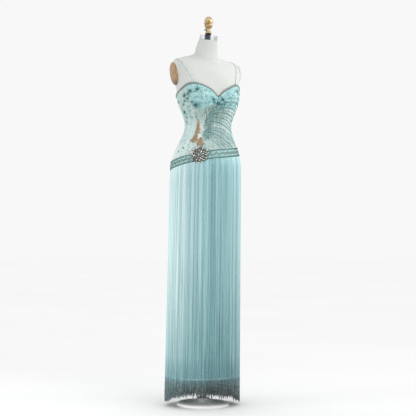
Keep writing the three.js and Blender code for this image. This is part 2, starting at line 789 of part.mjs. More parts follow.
addForm();
addArmPlates();
addStand();
addBodice();
addBinding();
add(gown, "strap_right", strapGeometry(-1), "strap");
add(gown, "strap_left", strapGeometry(1), "strap");
addBelt();
addBrooch();
addSlip();
add(gown, "fringe_front", fringeGeometry(-90, 90), "fringe");
add(gown, "fringe_back", fringeGeometry(90, 270), "fringe");

const gownOnForm = new THREE.Group();
gownOnForm.add(stand, gown);

export default gownOnForm;
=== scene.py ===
# %% [markdown]
# # A fringed evening gown on a dress form
# The gown is a fitted, boned bodice of sheer net with embroidered cups, a slanted hip belt and
# a floor-length fringe over a narrow slip. It stands on a cloth-covered form. The solids that
# this script loads give every piece its size and place. What is added here is what a close look
# shows: weave, beads, embroidery, crystals and more than a thousand strands of fringe.

import math

import bmesh
import bpy
import numpy as np
from mathutils import Matrix, Vector


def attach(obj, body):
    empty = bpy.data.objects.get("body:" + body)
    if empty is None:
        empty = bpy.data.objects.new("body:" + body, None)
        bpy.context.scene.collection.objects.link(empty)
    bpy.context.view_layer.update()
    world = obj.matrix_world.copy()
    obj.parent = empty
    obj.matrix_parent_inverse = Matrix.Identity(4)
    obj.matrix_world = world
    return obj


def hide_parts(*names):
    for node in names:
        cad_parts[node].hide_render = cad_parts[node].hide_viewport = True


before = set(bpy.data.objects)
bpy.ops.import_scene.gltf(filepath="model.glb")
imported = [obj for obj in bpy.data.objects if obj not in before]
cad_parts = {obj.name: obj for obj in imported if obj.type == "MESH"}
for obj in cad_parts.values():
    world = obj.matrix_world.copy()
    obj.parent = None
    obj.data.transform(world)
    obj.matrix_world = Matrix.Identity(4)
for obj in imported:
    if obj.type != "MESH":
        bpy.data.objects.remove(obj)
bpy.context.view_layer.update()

# %% [markdown]
# ## Measures
# A dressmaker works from a few girths and heights, and so does this script. Sizes are in
# millimetres until a mesh is made. Heights are above the floor. Angles run round the body from
# the centre front (0) towards the wearer's left (90), so the wearer's right is negative.

# %% Sizes of the cloth
MM = 0.001  # a millimetre in metres
LAYER_GAP = 0.8  # room between one layer of the gown and the next
CLEAR_OF_FORM = 2.0  # room between the form and the bodice
SEAM_GAP = 0.3  # room between two pieces that are sewn edge to edge
NET_THICKNESS = 1.6
BINDING_HEIGHT, BINDING_THICKNESS = 4.2, 2.6
BELT_HEIGHT, BELT_THICKNESS = 39.0, 2.0
ON_NET = CLEAR_OF_FORM + NET_THICKNESS
SECOND_LAYER = ON_NET + LAYER_GAP
ON_BELT = SECOND_LAYER + BELT_THICKNESS
FRONT_SEAM, SIDE_FRONT_SEAM, SIDE_BACK_SEAM = 24.0, 61.0, 112.0  # degrees from the centre front
SLIP_HEM_HEIGHT, FORM_BOTTOM, HIP_HEIGHT = 124.0, 980.0, 1080.0
CUP_SWELL, FORM_SWELL = 25.0, 21.0  # how far the bust stands out, on the gown and on the form
SIDES = ((-1, "right"), (1, "left"))  # the sign of the angles on each side of the wearer
HALVES = (("front", -90), ("back", 90))  # the angle where each half of belt, slip and fringe starts
print("belt stands off the form by", SECOND_LAYER, "mm")

# %% The form's sections
# Each row: height, half width, reach to the front, reach to the back, climb towards the back.
BODY = np.array([
    (980, 148, 108, 118, 0), (1035, 157, 112, 125, 0), (1085, 160, 113, 127, 0),
    (1110, 158, 112, 124, 0), (1137, 153, 110, 118, 0), (1164, 145, 107, 108, 0),
    (1191, 134, 102, 97, 0), (1219, 121, 97, 86, 0), (1250, 109, 92, 76, 0),
    (1282, 104, 90, 71, 0), (1312, 110, 95, 74, 0), (1343, 122, 101, 81, 0),
    (1380, 136, 105, 92, 0), (1420, 146, 106, 101, 0), (1455, 149, 101, 107, 0),
    (1495, 162, 88, 110, 0.03), (1528, 168, 72, 104, 0.1), (1551, 167, 58, 94, 0.22),
    (1568, 158, 48, 82, 0.33), (1578, 125, 42, 76, 0.4), (1588, 76, 38, 70, 0.44),
    (1600, 56, 35, 64, 0.48), (1622, 51, 35, 61, 0.46), (1652, 46, 37, 52, 0.31),
    (1681, 41, 42, 38, 0.185),
], float)
# Each row: height, half width, half depth, and how far back its centre is.
SLIP = np.array([
    (124, 108, 85, 3), (420, 121, 96, 4), (720, 138, 108, 6), (980, 157, 120, 7),
], float)
print(len(BODY), "sections of the form and", len(SLIP), "of the slip")

# %% The edges of the cloth
# Angle and height of the neckline, of the seam under the cups and of the belt's lower edge.
NECKLINE = np.array([
    (0, 1410), (9, 1436), (20, 1453), (31, 1465), (41, 1470), (55, 1465), (69, 1452),
    (85, 1436), (100, 1421), (125, 1406), (150, 1398), (180, 1395),
], float)
CUP_SEAM = np.array([(0, 1384), (20, 1364), (38, 1354), (50, 1372), (61, 1410)], float)
BELT_EDGE = np.array([
    (-180, 1112), (-150, 1091), (-130, 1079), (-111, 1074), (-90, 1084), (-67, 1098),
    (-47, 1109), (-19, 1123), (-5, 1131), (30, 1141), (69, 1149), (95, 1151), (120, 1147),
    (150, 1133), (180, 1112),
], float)


def curve(rows, column, at):
    """A smooth value between the rows of a table, by cubic curves through each row."""
    key, value = rows[:, 0], rows[:, column]
    last = len(key) - 1
    index = np.arange(last + 1)
    before, after = np.maximum(index - 1, 0), np.minimum(index + 1, last)
    slope = (value[after] - value[before]) / (key[after] - key[before])
    at = np.clip(at, key[0], key[-1])
    i = np.clip(np.searchsorted(key, at, side="right") - 1, 0, last - 1)
    span = key[i + 1] - key[i]
    s = (at - key[i]) / span
    s2, s3 = s * s, s * s * s
    ends = (2 * s3 - 3 * s2 + 1) * value[i] + (3 * s2 - 2 * s3) * value[i + 1]
    return ends + span * ((s3 - 2 * s2 + s) * slope[i] + (s3 - s2) * slope[i + 1])


def wrapped(angle):
    """The same direction as an angle from -180 to 180."""
    return angle - 360 * np.round(np.asarray(angle, float) / 360)


def neckline_height(angle):
    return curve(NECKLINE, 1, np.abs(wrapped(angle)))


def cup_seam_height(angle):
    return curve(CUP_SEAM, 1, np.abs(wrapped(angle)))


def belt_low(angle):
    return curve(BELT_EDGE, 1, wrapped(angle))


def belt_top(angle):
    return belt_low(angle) + BELT_HEIGHT


print("belt's lowest point:", round(float(BELT_EDGE[:, 1].min())), "mm above the floor")

# %% [markdown]
# ## The surface that the cloth follows
# Every panel, bead and leaf is placed by an angle and a height on one smooth surface: ovals
# stacked like the slices of a body, with two swells for the bust and a flat cut at each armhole.
# One function gives a point on it, moved out by a layer's thickness, so nothing can float or sink.

# %% Points on the form, the slip and the fringe's fall
SQUARE = 2 / 2.2  # the power of an oval that is slightly squarer than an ellipse
BUST_HEIGHT, BUST_APART, BUST_WIDTH, BUST_ABOVE, BUST_BELOW = 1408, 84, 46, 52, 38
ARMHOLE_LOW, ARMHOLE_LOW_X, ARMHOLE_BLEND = 1462, 146, 5
STEP_ASIDE, STEP_UP = 0.5, 1.0  # degrees and mm, small steps that find a slope
ARMHOLE_SLOPE, ARMHOLE_FLARE = 0.18, 0.6  # outward to each mm up, above and below its low end


def matched(*values):
    """Numbers and arrays as arrays of one shape."""
    return np.broadcast_arrays(*(np.asarray(value, float) for value in values))


def oval(angle, half_width, half_depth, centre):
    side, ahead = np.sin(np.radians(angle)), np.cos(np.radians(angle))
    x = half_width * np.sign(side) * np.abs(side) ** SQUARE
    y = centre - half_depth * np.sign(ahead) * np.abs(ahead) ** SQUARE
    return x, y


def body_point(angle, height, out=0.0, swell=CUP_SWELL):
    """A point on the form, in mm, moved out by a clearance."""
    angle, height, out = matched(angle, height, out)
    half_width, front, back, tip = (curve(BODY, column, height) for column in (1, 2, 3, 4))
    x, y = oval(angle, half_width + out, (front + back) / 2 + out, (back - front) / 2)
    sideways = (np.abs(x) - BUST_APART) / BUST_WIDTH
    rise = height - BUST_HEIGHT
    upward = rise / np.where(rise > 0, BUST_ABOVE, BUST_BELOW)
    facing = np.maximum(0, np.cos(np.radians(angle))) ** 0.5
    y = y - swell * facing * np.exp(-sideways**2 - upward**2)
    above = height - ARMHOLE_LOW
    reach = ARMHOLE_LOW_X + np.where(above > 0, ARMHOLE_SLOPE * above, -ARMHOLE_FLARE * above) + out
    near = np.maximum(ARMHOLE_BLEND - np.abs(np.abs(x) - reach), 0) / ARMHOLE_BLEND
    limited = np.minimum(np.abs(x), reach) - near**2 * ARMHOLE_BLEND / 4
    return np.stack([np.sign(x) * limited, y, height + tip * y], -1)


def hanging_point(angle, height, out=0.0):
    """Where something that hangs from the body is: it falls straight down from the hips."""
    angle, height, out = matched(angle, height, out)
    point = body_point(angle, np.maximum(height, HIP_HEIGHT), out)
    point[..., 2] = height
    return point


def slip_point(angle, height, out=0.0):
    """A point on the slip: on the form down to its lower end, then on a narrowing tube."""
    angle, height, out = matched(angle, height, out)
    half_width, half_depth, centre = (curve(SLIP, column, height) for column in (1, 2, 3))
    x, y = oval(angle, half_width + out, half_depth + out, centre)
    tube = np.stack([x, y, height], -1)
    on_form = body_point(angle, np.maximum(height, FORM_BOTTOM), CLEAR_OF_FORM + out)
    return np.where((height >= FORM_BOTTOM)[..., None], on_form, tube)


def outward(angle, height):
    """The direction that the form faces at each point, as unit vectors."""
    angle, height = matched(angle, height)
    across = body_point(angle + STEP_ASIDE, height) - body_point(angle - STEP_ASIDE, height)
    up = body_point(angle, height + STEP_UP) - body_point(angle, height - STEP_UP)
    normal = np.cross(across, up)
    return normal / np.linalg.norm(normal, axis=-1, keepdims=True)


def run_along(path):
    """The distance from a path's start to each of its points."""
    steps = np.linalg.norm(np.diff(path, axis=0), axis=-1)
    return np.concatenate([[0], np.cumsum(steps)])


print("centre front at the bust:", body_point(0, BUST_HEIGHT).round(1).tolist())

# %% [markdown]
# ## From numbers to meshes
# Blender's own tools could loft these surfaces, but thousands of points that follow a formula
# are quicker and more exact as arrays. One helper turns arrays into a mesh object, and one makes
# a cloth wall: an outer skin, an inner skin and the narrow edges between them, so that each piece
# of cloth is a closed solid with a real thickness.

# %% Mesh helpers
shown_pieces = {}


def piece(name, points, faces, finish, uv=None, tone=None):
    """A mesh object from points in mm and faces of three or four corners, in one frame."""
    mesh = bpy.data.meshes.new(name)
    corners = np.concatenate([np.asarray(f).ravel() for f in faces]).astype(np.int32)
    sizes = np.concatenate([np.full(len(f), np.asarray(f).shape[1]) for f in faces])
    mesh.vertices.add(len(points))
    mesh.vertices.foreach_set("co", (np.asarray(points, float) * MM).ravel())
    mesh.loops.add(len(corners))
    mesh.loops.foreach_set("vertex_index", corners)
    mesh.polygons.add(len(sizes))
    mesh.polygons.foreach_set("loop_start", np.concatenate([[0], np.cumsum(sizes)[:-1]]))
    mesh.update(calc_edges=True)
    mesh.polygons.foreach_set("use_smooth", np.full(len(sizes), True))
    if uv is not None:
        layer = mesh.uv_layers.new(name="cloth")
        layer.data.foreach_set("uv", np.asarray(uv, float)[corners].ravel())
    if tone is not None:
        mesh.attributes.new("tone", "FLOAT", "POINT").data.foreach_set("value", tone)
    mesh.materials.append(finish)
    made = bpy.data.objects.new(name, mesh)
    bpy.context.collection.objects.link(made)
    return made


def grid_faces(columns, rows, start=0, closed=False):
    """Quads over a grid of points, column by column, seen anticlockwise from outside."""
    c = np.arange(columns if closed else columns - 1)[:, None]
    r = np.arange(rows - 1)[None, :]
    n = (c + 1) % columns
    quads = np.stack([c * rows + r, n * rows + r, n * rows + r + 1, c * rows + r + 1], -1)
    return quads.reshape(-1, 4) + start


def cloth_wall(inner, outer, closed=False):
    """Points, faces and UVs in metres of a wall between two grids [column][row]."""
    columns, rows = outer.shape[:2]
    count = columns * rows
    front = grid_faces(columns, rows, 0, closed)
    back = grid_faces(columns, rows, count, closed)[:, ::-1]
    c = np.arange(columns if closed else columns - 1)
    n = (c + 1) % columns
    top = rows - 1
    low = np.stack([c * rows, count + c * rows, count + n * rows, n * rows], -1)
    high = np.stack([count + c * rows + top, c * rows + top, n * rows + top,
                     count + n * rows + top], -1)
    faces = [front, back, low, high]
    if not closed:
        r = np.arange(rows - 1)
        end = (columns - 1) * rows
        faces.append(np.stack([r, r + 1, count + r + 1, count + r], -1))
        faces.append(np.stack([count + end + r, count + end + r + 1, end + r + 1, end + r], -1))
    along = run_along(outer[:, rows // 2])
    uv = np.stack([np.repeat(along[:, None], rows, 1), outer[..., 2]], -1).reshape(-1, 2) * MM
    return np.concatenate([outer.reshape(-1, 3), inner.reshape(-1, 3)]), faces, np.tile(uv, (2, 1))


def dress_with(made, slot, *nodes):
    """Rides a finished piece on the one rigid body and hides the solids that it stands for, if any.
    """
    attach(made, "root")
    if nodes:
        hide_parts(*nodes)
    shown_pieces[made.name] = len(made.data.polygons)
    return made


print("a strip of 3 by 2 points has", len(grid_faces(3, 2)), "faces")

# %% [markdown]
# ## Finishes
# Each finish starts from what the real one is made of. Colours are written as the hex values that
# a paint program shows and are turned to linear light by one function. Patterns read an object's
# own coordinates in metres, or the cloth's UV map, so a scale of 1 / 0.0015 is a 1.5 mm repeat.

# %% Colour and node helpers
def linear(hex_colour):
    """A linear RGBA from an sRGB hex value."""
    channels = [int(hex_colour[i:i + 2], 16) / 255 for i in (1, 3, 5)]
    return [c / 12.92 if c <= 0.04045 else ((c + 0.055) / 1.055) ** 2.4 for c in channels] + [1.0]


def add(tree, kind, links=None, **settings):
    """Adds a node, sets it up, and fills or links its sockets by name or number."""
    made = tree.nodes.new(kind)
    for name, value in settings.items():
        setattr(made, name, value)
    for socket, source in (links or {}).items():
        if isinstance(source, bpy.types.NodeSocket):
            tree.links.new(source, made.inputs[socket])
        else:
            made.inputs[socket].default_value = source
    return made


def new_finish(name, **values):
    """A material with one Principled shader, its tree and that shader."""
    material = bpy.data.materials.new(name)
    material.use_nodes = True
    shader = material.node_tree.nodes["Principled BSDF"]
    for socket, value in values.items():
        shader.inputs[socket.replace("_", " ")].default_value = value
    return material, material.node_tree, shader


print("mid grey in linear light:", round(linear("#808080")[0], 3))

# %% Places and values for a pattern
def object_place(tree):
    """Where a point is on its object, in metres."""
    return add(tree, "ShaderNodeTexCoord").outputs["Object"]


def object_height(tree):
    """How high a point is on its object, in metres."""
    return add(tree, "ShaderNodeSeparateXYZ", {0: object_place(tree)}).outputs[2]


def cloth_place(tree):
    """Where a point is along and up the cloth, in metres."""
    return add(tree, "ShaderNodeUVMap", uv_map="cloth").outputs[0]


def cloudy(tree, place, size_mm, detail, distortion=0.0):
    """A value that drifts in spots of about this size."""
    return add(tree, "ShaderNodeTexNoise", {
        "Vector": place, "Scale": 1 / (size_mm * MM), "Detail": detail,
        "Distortion": distortion}).outputs[0]


def part_way(tree, value, low, high, at_low=0.0, at_high=1.0):
    """Turns a value between low and high into another scale, and stops at its ends."""
    return add(tree, "ShaderNodeMapRange", {
        "Value": value, "From Min": low, "From Max": high,
        "To Min": at_low, "To Max": at_high}).outputs[0]


def worked_out(tree, operation, *values, clamp=False):
    """The result of one operation on sockets and numbers."""
    return add(tree, "ShaderNodeMath", dict(enumerate(values)), operation=operation,
               use_clamp=clamp).outputs[0]


print("places and values ready")

# %% Colours and relief
def blend(tree, share, first, second):
    """The first colour where the share is 0 and the second where it is 1."""
    first, second = (linear(c) if isinstance(c, str) else c for c in (first, second))
    return add(tree, "ShaderNodeMix", {0: share, 6: first, 7: second},
               data_type="RGBA").outputs[2]


def colour_ramp(tree, value, stops):
    """A colour for each value from 0 to 1, through stops of a value and a colour."""
    made = add(tree, "ShaderNodeValToRGB", {0: value})
    elements = made.color_ramp.elements
    elements[0].color, elements[1].color = linear(stops[0][1]), linear(stops[-1][1])
    for at, colour in stops[1:-1]:
        elements.new(at).color = linear(colour)
    return made.outputs[0]


def paint(tree, shader, colour):
    """Uses a colour as the finish's own."""
    tree.links.new(colour, shader.inputs["Base Color"])


def patchy(tree, shader, dark, light, size_mm, stretch=(1, 1, 1), spread=(0.35, 0.65), detail=3):
    """Colour that drifts between two tones in patches of about this size."""
    place = add(tree, "ShaderNodeMapping", {"Vector": object_place(tree), "Scale": stretch})
    drift = cloudy(tree, place.outputs[0], size_mm, detail)
    paint(tree, shader, blend(tree, part_way(tree, drift, *spread), dark, light))


def grain(tree, shader, height, distance_mm, strength=1.0):
    """Raises the surface by a pattern's height."""
    bump = add(tree, "ShaderNodeBump", {
        "Height": height, "Distance": distance_mm * MM, "Strength": strength})
    tree.links.new(bump.outputs[0], shader.inputs["Normal"])


print("colours and relief ready")

# %% [markdown]
# ### Cloth finishes
# Jersey is a fine knit, so its surface is matt with a faint fuzz that catches light at the edges,
# which is what sheen does. Net is drawn as rows of small holes. Satin is a smooth weave: it is
# shinier than jersey, and its highlights stretch across the threads.

# %% Cotton jersey of the form
JERSEY_KNIT_MM = 1.6  # the real knit is nearer 0.8 mm, drawn coarser so that it shows
cotton_jersey, tree, shader = new_finish(
    "cotton jersey", Roughness=0.9, Sheen_Weight=0.25, Sheen_Roughness=0.5)
patchy(tree, shader, "#ccceca", "#d6d8d5", size_mm=180)
knit = cloudy(tree, object_place(tree), JERSEY_KNIT_MM, detail=2)
grain(tree, shader, knit, distance_mm=0.15)
print("made", cotton_jersey.name)

# %% Sheer net over the form
NET_HOLE_MM = 2.2  # real net has holes of about 1 mm, drawn coarser so that they show
TONAL_SCROLL_MM = 150  # the broad tonal scrolls that are woven into the net
STITCH_MM = 9  # size of the patches of fine stitching on the net
stretch_net, tree, shader = new_finish(
    "stretch net", Roughness=0.72, Sheen_Weight=0.3, Specular_IOR_Level=0.3)
place = cloth_place(tree)
holes = add(tree, "ShaderNodeTexVoronoi", {
    "Vector": place, "Scale": 1 / (NET_HOLE_MM * MM), "Randomness": 0.15})
thread = part_way(tree, holes.outputs["Distance"], 0.25, 0.6)
broad_scrolls = add(tree, "ShaderNodeTexWave", {
    "Vector": place, "Scale": 1 / (TONAL_SCROLL_MM * MM), "Distortion": 9.0, "Detail": 2.0,
    "Detail Scale": 0.6})
tonal = part_way(tree, broad_scrolls.outputs[1], 0.55, 0.95, at_high=0.55)
ground = blend(tree, thread, "#dbe4e2", "#d3e6e4")
toned = blend(tree, tonal, ground, "#b4d6d4")
density = add(tree, "ShaderNodeAttribute", attribute_name="tone").outputs["Fac"]
uneven = part_way(tree, cloudy(tree, place, STITCH_MM, detail=3), 0.3, 0.7, 0.55, 1.3)
stitched = worked_out(tree, "MULTIPLY", density, uneven, clamp=True)
paint(tree, shader, blend(tree, stitched, toned, "#96aea7"))
grain(tree, shader, thread, distance_mm=0.25)
print("made", stretch_net.name)

# %% Embroidered satin of the cups
SCROLL_MM, BANDS_OF_SCROLLS = 34, 26.0
CUP_SHADE_FULL_HEIGHT, CUP_SHADE_END_HEIGHT = 1.35, 1.425  # m: painted shade under the bust, partly deeper embroidery, darkens the satin lower down
cup_satin, tree, shader = new_finish(
    "embroidered satin", Roughness=0.42, Sheen_Weight=0.2, Anisotropic=0.4)
swirl = cloudy(tree, cloth_place(tree), SCROLL_MM, detail=1, distortion=1.6)
waves = worked_out(tree, "SINE", worked_out(tree, "MULTIPLY", swirl, BANDS_OF_SCROLLS))
tonal = part_way(tree, waves, -0.4, 0.9)
# Painted shade under the bust, partly deeper embroidery: the satin is darker below these heights
low = part_way(tree, object_height(tree), CUP_SHADE_FULL_HEIGHT, CUP_SHADE_END_HEIGHT, 0.6, 0.0)
paint(tree, shader, blend(tree, low, blend(tree, tonal, "#8fc3c6", "#bfe2e1"), "#6fa9ae"))
grain(tree, shader, tonal, distance_mm=0.4, strength=0.6)
print("made", cup_satin.name)

# %% Plain satins and braids
SLIP_WEAVE_MM = 2.5  # drawn coarser than the real weave so that it shows
ribbon_satin, tree, shader = new_finish("satin ribbon", Roughness=0.38, Sheen_Weight=0.2)
patchy(tree, shader, "#bdd6d4", "#d9e8e6", size_mm=14)
slip_satin, tree, shader = new_finish("slip satin", Roughness=0.34, Anisotropic=0.5)
patchy(tree, shader, "#9bd0d3", "#b6e0e1", size_mm=90, stretch=(1, 1, 0.3))
weave = add(tree, "ShaderNodeTexWave", {
    "Vector": object_place(tree), "Scale": 1 / (SLIP_WEAVE_MM * MM)})
grain(tree, shader, weave.outputs[1], distance_mm=0.05)
taupe_braid, tree, shader = new_finish("taupe braid", Roughness=0.7)
patchy(tree, shader, "#7c776a", "#a9a394", size_mm=4)
net_channel, tree, shader = new_finish("boning channel tape", Roughness=0.6)
patchy(tree, shader, "#a6c4c1", "#c3d9d6", size_mm=20)
print("made", ribbon_satin.name, slip_satin.name, taupe_braid.name, net_channel.name)

# %% Ground of the belt
CHAIN_STITCH_MM = 7  # size of the rings of chain stitch that cover the tape
belt_ground, tree, shader = new_finish("embroidered belt tape", Roughness=0.5, Sheen_Weight=0.2)
chain = add(tree, "ShaderNodeTexVoronoi", {
    "Vector": cloth_place(tree), "Scale": 1 / (CHAIN_STITCH_MM * MM)}).outputs["Distance"]
paint(tree, shader, blend(tree, part_way(tree, chain, 0.2, 0.7), "#b3d4d1", "#8fb8b6"))
grain(tree, shader, chain, distance_mm=0.5)
print("made", belt_ground.name)

# %% [markdown]
# ### The fringe's finish
# A real fringe is strings of tiny glass beads. Each string takes its own tone from an attribute
# on its mesh, with painted light that makes the sides paler. All of them darken towards the floor
# with painted shade, where less light gets in, and below the slip's hem the painted shade deepens
# for the dark inside the fringe. In the middle, painted light from the slip's hem makes a pale
# line. A fine noise paints the glints of single beads.

# %% Painted light that comes back from the hem
HEM_LINE, HEM_LINE_HALF = 0.1355, 0.002  # m: its height above the floor, and half its own
HEM_GLOW, HEM_GLOW_MIDDLE = 0.36, -0.03  # how strong it is, and its middle in m across
HEM_GLOW_FULL, HEM_GLOW_END = 0.075, 0.125  # m from that middle: where it fades and is gone


def hem_glow(tree, across, height):
    """How much painted light from the hem a place on a string takes."""
    on_line = worked_out(tree, "COMPARE", height, HEM_LINE, HEM_LINE_HALF)
    from_middle = worked_out(tree, "ABSOLUTE", worked_out(tree, "SUBTRACT", across, HEM_GLOW_MIDDLE))
    fading = part_way(tree, from_middle, HEM_GLOW_FULL, HEM_GLOW_END, HEM_GLOW, 0.0)
    return worked_out(tree, "MULTIPLY", on_line, fading)


print("the line is", round(HEM_LINE / MM - SLIP_HEM_HEIGHT, 1), "mm above the slip's hem")

# %% Bead string
GLINT_SPOT_MM = 4  # painted glints; a real bead is under 2 mm, drawn coarser so that its glint shows
DARK_FROM = 0.1335  # m, just above the slip's hem, where the painted shade of the fringe's inside begins
STRING_TONES = ((0, "#78adb3"), (0.5, "#a6d5d9"), (1, "#dff1f1"))
PAINTED_SHADES_TO_FLOOR = (  # painted shade towards the floor: height where it starts and is full, in m; power of its rise; colour
    (0.75, 0.08, 1.2, "#76adb1"), (0.23, 0.13, 0.8, "#6799a0"))


def bead_string(name, darkest_below, darkest):
    """Glass bead string with painted shade towards the floor, deepest down to a height in metres,
    and painted glints.
    """
    material, tree, shader = new_finish(
        name, Roughness=0.36, Coat_Weight=0.2, Coat_Roughness=0.25, Sheen_Weight=0.15)
    tone = add(tree, "ShaderNodeAttribute", attribute_name="tone").outputs["Fac"]
    colour = colour_ramp(tree, tone, STRING_TONES)
    place = object_place(tree)
    across, _, height = add(tree, "ShaderNodeSeparateXYZ", {0: place}).outputs
    uneven = worked_out(tree, "MULTIPLY_ADD", tone, -0.5, 1.2)
    # Painted shade: each string darkens towards the floor and, below the slip's hem, nearly to black
    for start, full, power, painted_shade in (*PAINTED_SHADES_TO_FLOOR, (DARK_FROM, darkest_below, 0.38, darkest)):
        rise = worked_out(tree, "POWER", part_way(tree, height, full, start, 1.0, 0.0), power)
        amount = worked_out(tree, "MULTIPLY", rise, uneven, clamp=True)
        colour = blend(tree, amount, colour, painted_shade)
    # Painted light: a pale line where light comes back from the slip's hem
    colour = blend(tree, hem_glow(tree, across, height), colour, "#c4e0e2")
    # Painted highlights: glints of single beads
    painted_glint = part_way(tree, cloudy(tree, place, GLINT_SPOT_MM, detail=1), 0.52, 0.75, at_high=0.4)
    paint(tree, shader, blend(tree, painted_glint, colour, "#dfeceb"))
    return material


outer_string = bead_string("bead string", 0.078, "#303c3e")
under_string = bead_string("bead string with painted shade at its ends", 0.118, "#171c1e")
print("made", outer_string.name, "and", under_string.name)

# %% [markdown]
# ### Beads, thread and crystal
# Small trims are seen as points of colour, so each bead finish is one tone of glossy glass with a
# little drift from bead to bead. The brooch's stones are foiled glass: they mirror the room.

# %% Bead and thread finishes
trim_finishes = {}
TRIM_COLOURS = {  # two tones that it drifts between, and roughness
    "dark teal glass": ("#214c51", "#3f7479", 0.25),
    "aqua glass": ("#79b1af", "#a3cfcb", 0.25),
    "smoky glass": ("#566d6b", "#7f9591", 0.25),
    "taupe pearl": ("#7d7668", "#aaa393", 0.4),
    "champagne thread": ("#937a5a", "#b89b78", 0.55),
    "ivory thread": ("#c3cbc3", "#dfe4dd", 0.55),
    "pale aqua thread": ("#9bcac8", "#c2e0dd", 0.5),
    "teal thread": ("#5d9596", "#7cb0af", 0.5),
    "copper bead": ("#6e4630", "#a9744f", 0.25),
}
for name, (dark, light, rough) in TRIM_COLOURS.items():
    trim_finishes[name], tree, shader = new_finish(name, Roughness=rough, Specular_IOR_Level=0.6)
    patchy(tree, shader, dark, light, size_mm=5, spread=(0.3, 0.7), detail=1)
foiled_crystal, tree, shader = new_finish(
    "foiled crystal", Metallic=0.75, Roughness=0.06, Coat_Weight=1.0)
patchy(tree, shader, "#4b5451", "#e6e9e6", size_mm=4, spread=(0.42, 0.6), detail=1)
print("trims:", ", ".join(trim_finishes))

# %% [markdown]
# ### Hard finishes of the stand
# The arm plates are varnished beech with grain that runs up the plate, and painted shade on the
# lowest part of the rim. The cap is polished chrome with painted reflections, upright bands of a
# dark room, and the pole is brushed chrome. The finial is gilded, and the base is white enamel.

# %% Varnished beech
GRAIN_MM, GRAIN_DRAWN_OUT = 6, 0.12
PLATE_SHADE_FULL_HEIGHT, PLATE_SHADE_END_HEIGHT = 1.465, 1.5  # m: painted shade darkens the lowest part of the rim
varnished_beech, tree, shader = new_finish(
    "varnished beech", Roughness=0.38, Coat_Weight=0.4, Coat_Roughness=0.2)
drawn_out = add(tree, "ShaderNodeMapping", {
    "Vector": object_place(tree), "Scale": (1, 1, GRAIN_DRAWN_OUT)})
year_rings = cloudy(tree, drawn_out.outputs[0], GRAIN_MM, detail=4, distortion=0.4)
wood = blend(tree, part_way(tree, year_rings, 0.35, 0.65), "#8b6841", "#b9966a")
# Painted shade on the lowest part of the rim
lower_rim_shade = part_way(tree, object_height(tree), PLATE_SHADE_FULL_HEIGHT, PLATE_SHADE_END_HEIGHT, 0.9, 0.0)
paint(tree, shader, blend(tree, lower_rim_shade, wood, "#4f3820"))
grain(tree, shader, year_rings, distance_mm=0.1, strength=0.5)
print("made", varnished_beech.name)

# %% Polished chrome with painted reflections
CAP_RADIUS, REFLECTION_BAND_TURN = 41.0, 27  # mm, and degrees by which its painted reflection bands are turned
PAINTED_CHROME_REFLECTIONS = (  # painted reflections: place across the cap, and colour
    (0, "#8b9092"), (0.08, "#d9dddf"), (0.26, "#eef0f1"), (0.32, "#5a6164"), (0.48, "#434a4d"),
    (0.6, "#5d6467"), (0.66, "#f2f4f4"), (0.84, "#dfe3e4"), (0.88, "#878d90"),
    (0.92, "#e6e9ea"), (1, "#a3a8aa"))
chrome_with_painted_reflections, tree, shader = new_finish("polished chrome with painted reflections", Metallic=1.0, Roughness=0.12)
turned_about = add(tree, "ShaderNodeMapping", {
    "Vector": object_place(tree), "Rotation": (0, 0, math.radians(REFLECTION_BAND_TURN))})
across = add(tree, "ShaderNodeSeparateXYZ", {0: turned_about.outputs[0]}).outputs[0]
share = part_way(tree, across, -CAP_RADIUS * MM, CAP_RADIUS * MM)
# Painted reflection: dark and bright upright bands fixed on the cap
paint(tree, shader, colour_ramp(tree, share, PAINTED_CHROME_REFLECTIONS))
print("made", chrome_with_painted_reflections.name)

# %% Other metals, and enamel
brushed_chrome, tree, shader = new_finish("brushed chrome", Metallic=1.0, Roughness=0.34)
patchy(tree, shader, "#c9cdcf", "#e4e7e8", size_mm=14, stretch=(1, 1, 0.2))
white_enamel, tree, shader = new_finish("white enamel", Roughness=0.55, Coat_Weight=0.15)
patchy(tree, shader, "#f3f3f1", "#f9f9f7", size_mm=60)
gilded_metal, tree, shader = new_finish("gilded metal", Metallic=0.85, Roughness=0.32)
patchy(tree, shader, "#a08358", "#dcc59c", size_mm=16)
black_iron, tree, shader = new_finish("blackened steel", Metallic=0.3, Roughness=0.5)
patchy(tree, shader, "#1e2124", "#2e3236", size_mm=25)
print("made", brushed_chrome.name, white_enamel.name, gilded_metal.name, black_iron.name)

# %% [markdown]
# ## Trims on points, and cords on paths
# Thousands of beads are one bead repeated, which is the work of Geometry Nodes: a tree takes a
# cloud of points that say which way the cloth faces, puts a trim on each, and turns the copies
# into real mesh. A second tree sweeps a round cord along drawn paths, for piping and fringe.

# %% Helpers for trees
def socket_names(tree):
    """The identifier of each named input of a tree."""
    return {item.name: item.identifier for item in tree.interface.items_tree
            if item.item_type == "SOCKET" and item.in_out == "INPUT"}


def new_tree(name, inputs):
    """A tree with named inputs and one output, and its two end nodes."""
    tree = bpy.data.node_groups.new(name, "GeometryNodeTree")
    for label, kind in inputs.items():
        tree.interface.new_socket(label, in_out="INPUT", socket_type=kind)
    tree.interface.new_socket("Made", in_out="OUTPUT", socket_type="NodeSocketGeometry")
    return tree, add(tree, "NodeGroupInput"), add(tree, "NodeGroupOutput")


def point_value(tree, name, kind="FLOAT"):
    """What each point carries under a name."""
    return add(tree, "GeometryNodeInputNamedAttribute", {"Name": name}, data_type=kind).outputs[0]


def end_tree(tree, given, result, geometry):
    """Ends a tree with real mesh in the finish that is given."""
    real = add(tree, "GeometryNodeRealizeInstances", {0: geometry})
    painted = add(tree, "GeometryNodeSetMaterial", {
        "Geometry": real.outputs[0], "Material": given.outputs["Finish"]})
    tree.links.new(painted.outputs[0], result.inputs[0])
    print(tree.name, "takes:", ", ".join(socket_names(tree)))


print("tree helpers ready")

